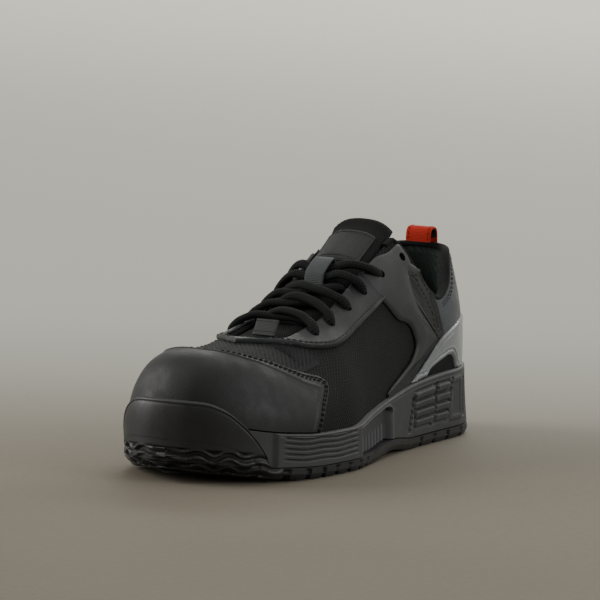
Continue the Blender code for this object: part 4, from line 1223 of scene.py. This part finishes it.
def build_heel_panel():
    """The smooth panel between the counter and the collar."""
    surface, thread = Surface(), Surface()
    ups, across = spaced(40), spaced(80, 0.02)
    for side in (1, -1):
        front = lambda d, s: np.interp(s, PANEL_SHARES, PANEL_FRONT)
        low = lambda d, s: counter_top(d, s) - 0.006
        station, share = patch(side, lambda d, s: 0 * s, front, low,
                               lambda d, s: upper_edge(d, s) - 0.002, ups, across)
        middle = upper_point(side, station, share, 0.0001)
        distance = from_edges(middle, ("high", "front"))
        roll = rounded(distance)
        puff = 0.0004 * np.sin(np.clip(distance / 0.010, 0, 1) * math.pi / 2)
        surface.slab(upper_point(side, station, share, 0.0001 + 0.0005 * roll + puff), middle,
                     ("low", "high", "front"))
        at = np.linspace(0.0, 0.19, 90)
        for moved in (0.0042, 0.0058):
            sew(thread, side, at, upper_edge(side, at), 0.0010, moved * side)
    surface.piece("heel_panel", FINISH["panel"], "upper")
    thread.piece("heel_panel_stitches", FINISH["pale_thread"], "upper")


def build_lining():
    surface = Surface()
    station = np.linspace(0, LINING_FRONT, 110)
    ups = np.linspace(0, 1, 44)[:, None]
    for side in (1, -1):
        low, high = lining_low(side, station), upper_edge(side, station)
        share = low + (high - low) * ups
        swell = np.sin(math.pi * (0.10 + 0.80 * ups)) ** 0.8
        taper = 1 - eased(LINING_FRONT - 0.09, LINING_FRONT, station)
        pad = 0.0012 + COLLAR_PAD * swell * (0.15 + 0.85 * taper)
        folds = 0.0004 * np.sin(station * 95 + 3 * ups) * swell
        outside = -UPPER_WALL - 2 * GAP
        surface.slab(upper_point(side, station, share, outside - pad + folds),
                     upper_point(side, station, share, outside), ("low", "high", "front"))
    made = surface.piece("collar_padding", FINISH["lining"], "collar_lining", ("collar_lining",))


def build_binding():
    """The tape folded over the collar's edge."""
    surface = Surface()
    station = np.linspace(0, 0.345, 110)
    halves = []
    for side in (1, -1):
        edge = upper_edge(side, station)
        point = upper_point(side, station, edge, -UPPER_WALL / 2)
        halves.append((point, upper_normal(side, station, edge)))
    line = np.concatenate([halves[1][0][:0:-1], halves[0][0]])
    normals = np.concatenate([halves[1][1][:0:-1], halves[0][1]])
    sweep(surface, line, 0.0036, 0.0046, normals, 14)
    surface.piece("collar_binding", FINISH["binding"], "upper")


# The tongue

def build_tongue():
    surface = Surface()
    station = np.linspace(TONGUE_TOP, TONGUE_END, 170)
    across = np.linspace(1, 0, 34)[:, None]
    for side in (1, -1):
        wide = across * tongue_half(station)
        edge = np.minimum(tongue_half(station) - wide, 0.02)
        end = (station - TONGUE_TOP) * SOLE_LENGTH
        rim = rounded(np.minimum(edge, end), 0.004)
        quilt = 0.0007 * np.cos(wide * 2 * math.pi / 0.012) * eased(0.42, 0.46, station)
        roll = 0.0012 * hump(end, 0.0045, 0.0045)
        ribs = 0.00030 * np.cos(wide * 2 * math.pi / 0.0020) * hump(end, 0.0045, 0.0060)
        crown = TONGUE_PAD * (0.5 + 0.5 * rim)
        middle = TONGUE_PAD / 2
        top = middle - crown / 2 - (roll + ribs) * rim - quilt * 0.3
        low = middle + crown / 2
        surface.slab(tongue_point(side, station, wide, np.maximum(top, -0.0018)),
                     tongue_point(side, station, wide, low), ("low", "rear", "front"))
    made = surface.piece("tongue_padding", FINISH["tongue"], "tongue", ("tongue",))


def build_label():
    """A blank label with a sewn border."""
    surface, thread = Surface(), Surface()
    low, high = LABEL_SPAN
    station = low + (high - low) * spaced(40, 0.05)
    across = np.linspace(1, 0, 30)[:, None] * LABEL_WIDTH / 2
    for side in (1, -1):
        edge = np.minimum(LABEL_WIDTH / 2 - across, 0.02)
        end = np.minimum(station - low, high - station) * SOLE_LENGTH
        distance = np.minimum(edge, end)
        lift = WEBBING * (0.5 + 0.5 * rounded(distance, 0.0009))
        lift = lift - 0.0003 * hump(distance, 0.0018, 0.0006)
        surface.slab(tongue_point(side, station, across, -2 * GAP - lift),
                     tongue_point(side, station, across, -GAP), ("low", "rear", "front"))
        half = LABEL_WIDTH / 2 - 0.0018
        ends = low + 0.006, high - 0.006
        rows = [(np.linspace(*ends, 30), np.full(30, half))]
        rows += [(np.full(30, at), np.linspace(0.0005, half, 30)) for at in ends]
        for at, wide in rows:
            line = tongue_point(side, at, wide, -2 * GAP - WEBBING + 0.0001)
            add_stitches(thread, line, upper_normal(side, at, share_at_width(side, at, wide)),
                         0.0026, 0.0005)
    surface.piece("tongue_label_cloth", FINISH["label"], "label", ("tongue_label",))
    thread.piece("tongue_label_stitches", FINISH["pale_thread"], "label")


# The laces, and what holds them

def smoothed(points, rounds=3):
    """Rounds the corners of a line and keeps its ends."""
    points = np.asarray(points, float)
    for _ in range(rounds):
        near = 0.75 * points[:-1] + 0.25 * points[1:]
        far = 0.25 * points[:-1] + 0.75 * points[1:]
        cut = np.stack([near, far], axis=1).reshape(-1, 3)
        points = np.concatenate([points[:1], cut[1:-1], points[-1:]])
    return points


def lace_up(point):
    """The way out of the shoe at a point of a lace."""
    station = 0.5 - point[1] / SOLE_LENGTH
    across = point[0] - axis_x(station)
    side = 1.0 if across > 0 else -1.0
    share = np.clip(share_at_width(side, np.float64(station), abs(across)), 0, 0.985)
    return upper_normal(side, np.float64(station), share)


def add_lace(surface, points, ends):
    """A lace whose ends narrow where they go into holes or under an edge."""
    line = smoothed(points)
    run = run_of(line)
    thick = np.ones(len(line))
    for wanted, distance in zip(ends, (run, run[-1] - run)):
        if wanted < 1:
            thick = np.minimum(thick, wanted + (1 - wanted) * np.clip(distance / 0.006, 0, 1))
    twist = 0.06 * np.sin(run * 190 + points[0][1] * 900)
    normals = np.array([lace_up(p) for p in line])
    sweep(surface, line, LACE_WIDE * thick * (1 + twist), LACE_THICK * thick * (1 - twist),
          normals, 16)


LACE_WIDE = 0.0058
LACE_THICK = 0.0043


def hole_start(side, station):
    place, way = eyelet_place(side, station)
    return [place - way * 0.0042, place - way * 0.0010, place + way * 0.0008]


def build_laces():
    surface = Surface()
    for start, end, middle in LACING:
        first, last = EYELETS[start], EYELETS[end] + LACE_SHORT
        for side, over in ((1, 0.6), (-1, 0.21)):
            points = strand(side, first, middle, last, over)
            points = [p - lace_up(p) * (0.0007 if k < 3 else 0.0) for k, p in enumerate(points)]
            under = lace_point(points[-1][0] - side * 0.0012, last - 0.002, LACE_SINK + 0.0032)
            add_lace(surface, hole_start(side, first) + points[1:] + [under], (0.72, 0.6))
    for start, middle in BANDS:
        points = band(EYELETS[start], middle)
        ends = hole_start(-1, EYELETS[start])[::-1]
        add_lace(surface, hole_start(1, EYELETS[start]) + points[1:-1] + ends, (0.72, 0.72))
    names = [f"lace_crossing_{k + 1}" for k in range(len(LACING))]
    names += [f"lace_band_{k + 1}" for k in range(len(BANDS))]
    surface.piece("laces", FINISH["lace"], "lace", names)


def flat_band(surface, path, across, half, thick, rounds=2):
    """A webbing band along a path, thickened to the path's left."""
    line = smoothed(path, rounds)
    ahead = np.gradient(line, axis=0)
    up = unit(np.cross(np.broadcast_to(across, line.shape), ahead))
    turn = np.arange(28) * 2 * math.pi / 28
    wide = np.sign(np.cos(turn)) * np.abs(np.cos(turn)) ** 0.3
    tall = np.sign(np.sin(turn)) * np.abs(np.sin(turn)) ** 0.45
    across = np.asarray(across, float)
    ring = (line[:, None] + across * (wide * half)[None, :, None]
            + up[:, None] * (thick * (0.5 + 0.5 * tall))[None, :, None])
    ends = [np.repeat(ring[[k]].mean(axis=1, keepdims=True), 28, axis=1) for k in (0, -1)]
    surface.grid(np.concatenate([ends[0], ring, ends[1]]), closed=True)
    return line, up


def build_keeper():
    surface = Surface()
    low = -UPPER_WALL - GAP
    high = LACE_CLEAR - LACE_SINK + LACE / 2 + 6 * GAP
    leg = KEEPER_LEG / SOLE_LENGTH
    path = []
    for station, lift in ((KEEPER[1], low), (KEEPER[1] - leg, 0.8 * high),
                          (KEEPER[1] - 2 * leg, high), (np.mean(KEEPER), high + 0.0004),
                          (KEEPER[0] + 2 * leg, high), (KEEPER[0] + leg, 0.8 * high),
                          (KEEPER[0], low + 4 * GAP)):
        path.append(ridge(np.float64(station), lift))
    flat_band(surface, path, (1, 0, 0), KEEPER_WIDTH / 2, WEBBING, 2)
    surface.piece("lace_keeper_strap", FINISH["keeper"], "lace_keeper", ("lace_keeper",))


def build_tag():
    """A small blank folded tag at the front of the throat."""
    surface, thread = Surface(), Surface()
    x, y, z = ridge(np.float64(TAG_STATION), -UPPER_WALL)
    lean = np.array([0.0, math.sin(TAG_LEAN), math.cos(TAG_LEAN)])
    base = np.array([x + TAG_OFFSET, y, z])
    path = [base + lean * TAG_HEIGHT * f for f in np.linspace(0, 1, 9)]
    out = flat_band(surface, path, (1, 0, 0), TAG_WIDTH / 2, WEBBING, 1)[1][4]
    for height in (0.25, 0.88):
        row = base + lean * TAG_HEIGHT * height + out * WEBBING
        steps = np.linspace(-0.42, 0.42, 12)[:, None] * np.array([TAG_WIDTH, 0, 0])
        add_stitches(thread, row + steps, np.repeat(out[None], 12, axis=0), 0.0022, 0.0004)
    surface.piece("vamp_tag_cloth", FINISH["tag"], "label", ("vamp_tag",))
    thread.piece("vamp_tag_stitches", FINISH["pale_thread"], "label")


def build_pull_loop():
    surface, lining, thread = Surface(), Surface(), Surface()
    edge = upper_edge(1, np.float64(0.0))
    low = share_at_height(np.float64(0.0), HEEL_HEIGHT - LOOP_LEG)
    leg = [upper_point(1, np.float64(0.0), low + (edge - low) * f, 2 * GAP) for f in (0, 0.5, 1)]
    top = leg[-1]
    path = leg[:-1]
    for turn in np.linspace(0, math.pi, 21):
        side = math.copysign(abs(math.cos(turn)) ** 0.6, math.cos(turn))
        path.append(np.array([0.0, top[1] - LOOP_DEPTH / 2 * (1 - side),
                              top[2] + LOOP_HEIGHT * math.sin(turn) ** 0.6]))
    path = [np.array([0.0, p[1], p[2]]) for p in path]
    path[-1][2] += 3 * GAP
    line, up = flat_band(surface, path[::-1], (1, 0, 0), LOOP_WIDTH / 2, WEBBING, 1)
    # The dark layer in lining, just inside the webbing: painted shade for the gap between the loop's
    # legs.
    flat_band(lining, [p - u * 0.0006 for p, u in zip(line[3:-6], up[3:-6])], (1, 0, 0),
              LOOP_WIDTH / 2 - 0.0002, 0.0006, 0)
    for across in (-0.40, 0.40):
        row = line + up * WEBBING + np.array([across * LOOP_WIDTH, 0, 0])
        add_stitches(thread, row[2:-2], up[2:-2], 0.0028, 0.0004)
    surface.piece("pull_loop_webbing", FINISH["loop"], "pull_loop", ("pull_loop",))
    lining.piece("pull_loop_painted_shade", FINISH["loop_gap_shade"], "pull_loop")
    thread.piece("pull_loop_stitches", FINISH["loop_thread"], "pull_loop")


# The sole

def loop_stations(count):
    turn = np.linspace(0, 1, count)
    return 0.35 * (1 - np.cos(turn * math.pi)) / 2 + 0.65 * turn


def centre_line(station, height):
    return np.stack([axis_x(station), SOLE_LENGTH * (0.5 - station),
                     height + 0 * station], axis=-1)


def box_mask(place, share, back, front, low, high, soft, tall):
    """1 inside a panel of the wall, with soft edges this many metres wide."""
    ends = soft / SOLE_LENGTH
    rows = soft / tall
    return (eased(back - ends / 2, back + ends / 2, place)
            * (1 - eased(front - ends / 2, front + ends / 2, place))
            * eased(low - rows / 2, low + rows / 2, share)
            * (1 - eased(high - rows / 2, high + rows / 2, share)))


def wall_relief(side, station, share):
    """Pads, slots, hollows and ribs on the midsole's wall."""
    tall = lip_height(station) - tread_height(station) - OUTSOLE
    relief = 0 * station * share
    rows = np.linspace(*PAD_SPAN, PAD_ROWS + 1)
    for back, front in PAD_COLUMNS:
        relief = relief - 0.0007 * box_mask(station, share, back - 0.004, front + 0.004,
                                            PAD_SPAN[0] - 0.02, PAD_SPAN[1] + 0.02, 0.0012, tall)
        for low, high in zip(rows[:-1], rows[1:]):
            pad = box_mask(station, share, back, front, low + 0.025, high - 0.025, 0.0011, tall)
            tilt = 1 + 0.35 * (share - (low + high) / 2) / (high - low)
            relief = relief + (PAD_STEP + 0.0005) * pad * tilt
    for back, front, low, high, depth in SLOTS:
        lean = 0.030 * (share - 0.5)
        relief = relief - depth * box_mask(station + lean, share, back, front, low, high,
                                           0.0010, tall)
    relief = relief + 0.0009 * box_mask(station, share, 0.122, 0.178, 0.14, 0.88, 0.0016, tall)
    relief = relief - 0.0006 * box_mask(station, share, 0.132, 0.168, 0.22, 0.80, 0.0012, tall)
    back, front, high = POCKET
    turn = np.clip((station - back) / (0.2 * (front - back)), 0, 1)
    top = high * (0.80 + 0.20 * np.sqrt(1 - (1 - turn) ** 2))
    hollow = box_mask(station, share, back, front, -1.0, top, 0.0016, tall)
    uprights = 0.5 + 0.5 * np.cos(station * SOLE_LENGTH * 2 * math.pi / 0.0052)
    depth = POCKET_DEPTH + 0.0030 - 0.0026 * uprights * (1 - eased(0.45, 0.85, share))
    relief = relief - hollow * depth
    rim = box_mask(station, share, back - 0.008, front + 0.006, -1.0, top + 0.09, 0.0016, tall)
    relief = relief + 0.0005 * rim * (1 - hollow)
    ribs = 0 * relief
    for middle in np.linspace(*RIB_SPAN, RIBS):
        wander = 0.018 * np.sin(station * 60)
        ribs = np.maximum(ribs, hump(share, middle + wander, RIB_HALF * 1.5))
    relief = relief - 1.15 * RIB_CUT * ribs * eased(RIB_BACK - 0.004, RIB_BACK + 0.008, station) \
        * (1 - eased(BUMPER_BACK - 0.035, BUMPER_BACK - 0.02, station))
    crease = hump(share, 0.93, 0.035) * (1 - hollow)
    return relief - 0.0003 * crease


SLOTS = (
    (0.337, 0.350, 0.10, 0.76, 0.0026),
    (0.244, 0.251, 0.13, 0.88, 0.0026),
    (0.177, 0.184, 0.13, 0.88, 0.0026),
    (0.092, 0.112, 0.17, 0.81, 0.0030),
)


def build_midsole():
    surface = Surface()
    station = loop_stations(350)
    shares = np.concatenate([[0, 0.01, 0.022], np.linspace(0.035, 0.955, 66), [0.975, 0.99, 1]])
    for side in (1, -1):
        wall = []
        for share in shares:
            corner = 0.0011 * (1 - rounded(1 - share, 0.045)) + 0.0008 * (1 - rounded(share, 0.03))
            show = 1 - eased(BUMPER_BACK - 0.02, BUMPER_BACK - 0.005, station)
            relief = wall_relief(side, station, share) * show
            wall.append(midsole_wall(side, station, share, relief - corner * show))
        lip = share_at_height(station, lip_height(station))
        for level in (1.0, 0.6, 0.25):
            wall.append(upper_point(side, station, lip * level, GAP))
        bed = upper_point(side, station, 0.0 * lip, GAP)
        bed[:, 2] -= GAP
        wall.append(bed)
        base = tread_height(station) + OUTSOLE + GAP
        rows = [centre_line(station, base), *wall, centre_line(station, bed[:, 2])]
        surface.grid(np.stack(rows))
    surface.piece("midsole_wall", FINISH["midsole"], "midsole", ("midsole",))


def groove_mask(x, y, half):
    """1 in the tread's grooves: wavy across the forefoot, straight across the heel."""
    found = 0 * x
    rows = [(s, GROOVE_WAVE) for s in np.linspace(*TOE_TREAD, TOE_GROOVES)]
    rows += [(s, 0.0) for s in np.linspace(*HEEL_TREAD, HEEL_GROOVES)]
    for middle, wave in rows:
        line = SOLE_LENGTH * (0.5 - middle) + wave * np.sin(x / BALL_WIDTH * 5 * math.pi)
        found = np.maximum(found, 1 - eased(half - 0.0004, half + 0.0004, np.abs(y - line)))
    return found


def build_outsole():
    surface = Surface()
    station = loop_stations(350)
    base = tread_height(station) + OUTSOLE
    rise = bumper_height(station) - base
    inside = 3 * GAP + OVERLAY
    for side in (1, -1):
        edge = np.stack(moved_outline(side, station, -SOLE_CHAMFER), axis=-1)
        inset = SOLE_CHAMFER + TREAD_INSET + TOE_ROLL_DEPTH * rolled(station)
        ring = with_height(moved_outline(side, station, -inset), tread_height(station))
        rows = []
        middle = centre_line(station, tread_height(station))
        for f in np.linspace(0, 1, 56):
            row = middle + (ring - middle) * f
            mask = groove_mask(row[:, 0], row[:, 1], GROOVE / 2)
            spine = 1 - eased(0.0008, 0.0016, np.abs(np.abs(row[:, 0] - middle[:, 0]) - 0.017))
            where = ((station > 0.05) & (station < 0.93)).astype(float)
            waist = 0.35 * box_mask(station, 0.5 + 0 * station, 0.33, 0.57, 0, 1, 0.01, 1)
            pattern = np.maximum(np.maximum(mask, 0.7 * spine * where), waist)
            row[:, 2] += LUG * pattern * (1 - 0.8 * rolled(station))
            rows.append(row)
        notch = groove_mask(ring[:, 0], ring[:, 1], GROOVE / 2) * (1 - rolled(station))
        for f in np.linspace(0, 1, 19)[1:]:
            row = np.concatenate([ring[:, :2] + (edge - ring[:, :2]) * f,
                                  ring[:, 2:] + (tread_edge(station) - ring[:, 2])[:, None]
                                  * f ** 1.7], axis=1)
            row[:, 2] += LUG * 0.9 * notch * (1 - f)
            rows.append(row)
        nx, ny = outward(side, station)
        out = np.stack([nx, ny, 0 * nx], axis=-1)
        run = np.cumsum(np.linalg.norm(np.diff(edge, axis=0, prepend=edge[:1]), axis=1))
        low = np.minimum(np.maximum(base, tread_edge(station) + 0.3 * rise), base + 0.5 * rise)
        low = np.maximum(low, tread_edge(station) + 0.0002)
        cut = 0.0016 * notch
        for f in np.linspace(0, 1, 19)[1:]:
            height = tread_edge(station) + (low - tread_edge(station)) * f
            row = with_height(edge.T, height)
            fade = 1 - eased(0.4, 1.0, f)
            rows.append(row - out * (cut * fade)[:, None])
        for share in np.linspace(0, 1, 40)[1:]:
            height = low + (base + rise - low) * share
            at = upper_at_height(side, station, height, inside + BUMPER_WALL)
            blend = np.where(rise > 1e-6, 0.25 + 0.75 * share**0.8, 0.0)[:, None]
            at[:, :2] = edge + (at[:, :2] - edge) * blend
            below = (bumper_height(station) - height)
            bead = 0.00035 * hump(below, 0.0009, 0.0008) - 0.00020 * hump(below, 0.0022, 0.0008)
            corner = 0.0008 * (1 - rounded(below, 0.0008))
            rows.append(at + out * ((bead - corner) * (rise > 0.004))[:, None])
        waves = rolled(station)
        for row in rows[56:]:
            height = row[:, 2] - tread_height(station)
            swing = 0.0013 * np.sin(run * 2 * math.pi / 0.018) * (1 + 0.4 * np.sin(run * 140))
            ripple = np.cos(2 * math.pi * (height + swing) / 0.0044)
            fade = waves * (1 - eased(0.0130, 0.0150, height)) * eased(0.0005, 0.0025, height)
            row -= out * (0.0024 * fade * eased(-0.6, 0.4, -ripple))[:, None]
        for share in (1.0, 0.7, 0.35, 0.0):
            rows.append(upper_at_height(side, station, base + rise * share, inside))
        rows.append(centre_line(station, base))
        surface.grid(np.stack(rows))
    surface.piece("outsole_tread", FINISH["outsole"], "outsole", ("outsole",))


def build_insole():
    """The foot bed, slightly dished and cupped at the heel."""
    surface = Surface()
    station = loop_stations(200)
    inside = -UPPER_WALL - GAP
    for side in (1, -1):
        low = upper_point(side, station, 0.0, inside)
        low[:, 2] = bed_height(station) + GAP
        level = share_at_height(station, bed_height(station) + GAP + INSOLE)
        edge = upper_point(side, station, level, inside)
        middle = centre_line(station, edge[:, 2])
        rows = [centre_line(station, low[:, 2]), low]
        for f in np.linspace(1, 0, 30):
            row = middle + (edge - middle) * f
            row[:, 2] -= 0.0012 * (1 - f ** 2) + 0.0006 * (1 - min(1.0, (1 - f) * 12)) ** 2
            rows.append(row)
        surface.grid(np.stack(rows))
    made = surface.piece("insole_bed", FINISH["insole"], "insole", ("insole",))


# Floor, light and camera

def build_floor():
    mesh = bpy.data.meshes.new("floor")
    size = 12.0
    mesh.from_pydata([(-size, -size, 0), (size, -size, 0), (size, size, 0), (-size, size, 0)],
                     [], [(0, 1, 2, 3)])
    floor = bpy.data.objects.new("floor", mesh)
    bpy.context.scene.collection.objects.link(floor)
    made = Finish("floor_finish", 0.7, Specular_IOR_Level=0.12)
    away = made.maths("SUBTRACT", made.maths("MULTIPLY", made.axis("Y"), math.cos(AZIMUTH)),
                      made.maths("MULTIPLY", made.axis("X"), math.sin(AZIMUTH)))
    tone = made.mixed(made.ranged(away, *FLOOR_FADE), FLOOR_NEAR, FLOOR_FAR)
    made.colour(made.spotted(tone, FLOOR_FAR, 0.35, 0.3, 0.7, 0.06))
    made.roughness(made.ranged(made.noise(0.004), 0.3, 0.7, 0.66, 0.74))
    floor.data.materials.append(made.material)


FLOOR_NEAR = (0.185, 0.158, 0.120)
FLOOR_FAR = (0.44, 0.435, 0.385)
FLOOR_FADE = (-0.20, 0.70)


def add_light(name, place, size, power, colour, aim=(0, 0, 0.05)):
    light = bpy.data.lights.new(name, "AREA")
    light.shape = "RECTANGLE"
    light.size, light.size_y = size
    light.energy = power
    light.color = colour
    made = bpy.data.objects.new(name, light)
    made.location = place
    made.rotation_euler = (Vector(aim) - Vector(place)).to_track_quat("-Z", "Y").to_euler()
    bpy.context.scene.collection.objects.link(made)


# Where the studio is dark: level, and a little to the inner side of the toe
FRONT_WAY = (-0.16, -0.987, 0.0)
WORLD_LIGHT = 0.56
WORLD_DARK = 0.06


def build_light():
    world = bpy.data.worlds.new("studio")
    world.use_nodes = True
    nodes, links = world.node_tree.nodes, world.node_tree.links
    way = nodes.new("ShaderNodeTexCoord").outputs["Generated"]
    front = nodes.new("ShaderNodeVectorMath")
    front.operation = "DOT_PRODUCT"
    links.new(way, front.inputs[0])
    front.inputs[1].default_value = FRONT_WAY
    ramp = nodes.new("ShaderNodeMapRange")
    ramp.interpolation_type = "SMOOTHSTEP"
    for socket, value in zip(list(ramp.inputs)[1:5], (0.60, 0.92, WORLD_LIGHT, WORLD_DARK)):
        socket.default_value = value
    links.new(front.outputs["Value"], ramp.inputs[0])
    links.new(ramp.outputs[0], nodes["Background"].inputs[1])
    nodes["Background"].inputs[0].default_value = (0.88, 0.88, 0.84, 1)
    bpy.context.scene.world = world
    add_light("left", (-2.1, -0.9, 1.0), (1.5, 1.6), 44, (1.0, 0.99, 0.96))
    add_light("right", (2.3, 0.1, 1.0), (1.2, 1.6), 20, (0.95, 0.98, 1.0))
    add_light("top", (0.2, 0.9, 2.4), (1.6, 1.4), 9, (1.0, 0.99, 0.96))
    add_light("back", (-0.8, 4.4, 2.6), (4.6, 3.0), 250, (1.0, 0.99, 0.93), (-0.8, 5.0, 0))


def build_camera():
    back = np.array([math.sin(AZIMUTH) * math.cos(ELEVATION),
                     -math.cos(AZIMUTH) * math.cos(ELEVATION), math.sin(ELEVATION)])
    level = np.array([math.cos(AZIMUTH), math.sin(AZIMUTH), 0])
    high = np.cross(back, level)
    right = math.cos(ROLL) * level + math.sin(ROLL) * high
    up = math.cos(ROLL) * high - math.sin(ROLL) * level
    ahead = (-back - right * (TARGET_PIXEL[0] - IMAGE / 2) / FOCAL_PIXELS
             + up * (TARGET_PIXEL[1] - IMAGE / 2) / FOCAL_PIXELS)
    ahead /= np.linalg.norm(ahead)
    right = right - ahead * (right @ ahead)
    right /= np.linalg.norm(right)
    up = np.cross(right, ahead)
    data = bpy.data.cameras.new("camera")
    data.sensor_width = 36
    data.lens = FOCAL_PIXELS * data.sensor_width / IMAGE
    data.clip_start, data.clip_end = 0.05, 60
    camera = bpy.data.objects.new("camera", data)
    turn = Matrix(np.stack([right, up, -ahead], axis=1).tolist())
    camera.matrix_world = Matrix.Translation(Vector(TARGET) + Vector(back * DISTANCE)) @ turn.to_4x4()
    bpy.context.scene.collection.objects.link(camera)
    bpy.context.scene.camera = camera


build_camera()
build_floor()
build_light()
build_midsole()
build_outsole()
build_insole()
build_upper()
build_vamp()
build_toe_cap()
build_eyestay()
build_saddles()
build_counter()
build_heel_panel()
build_lining()
build_binding()
build_tongue()
build_label()
build_laces()
build_keeper()
build_tag()
build_pull_loop()
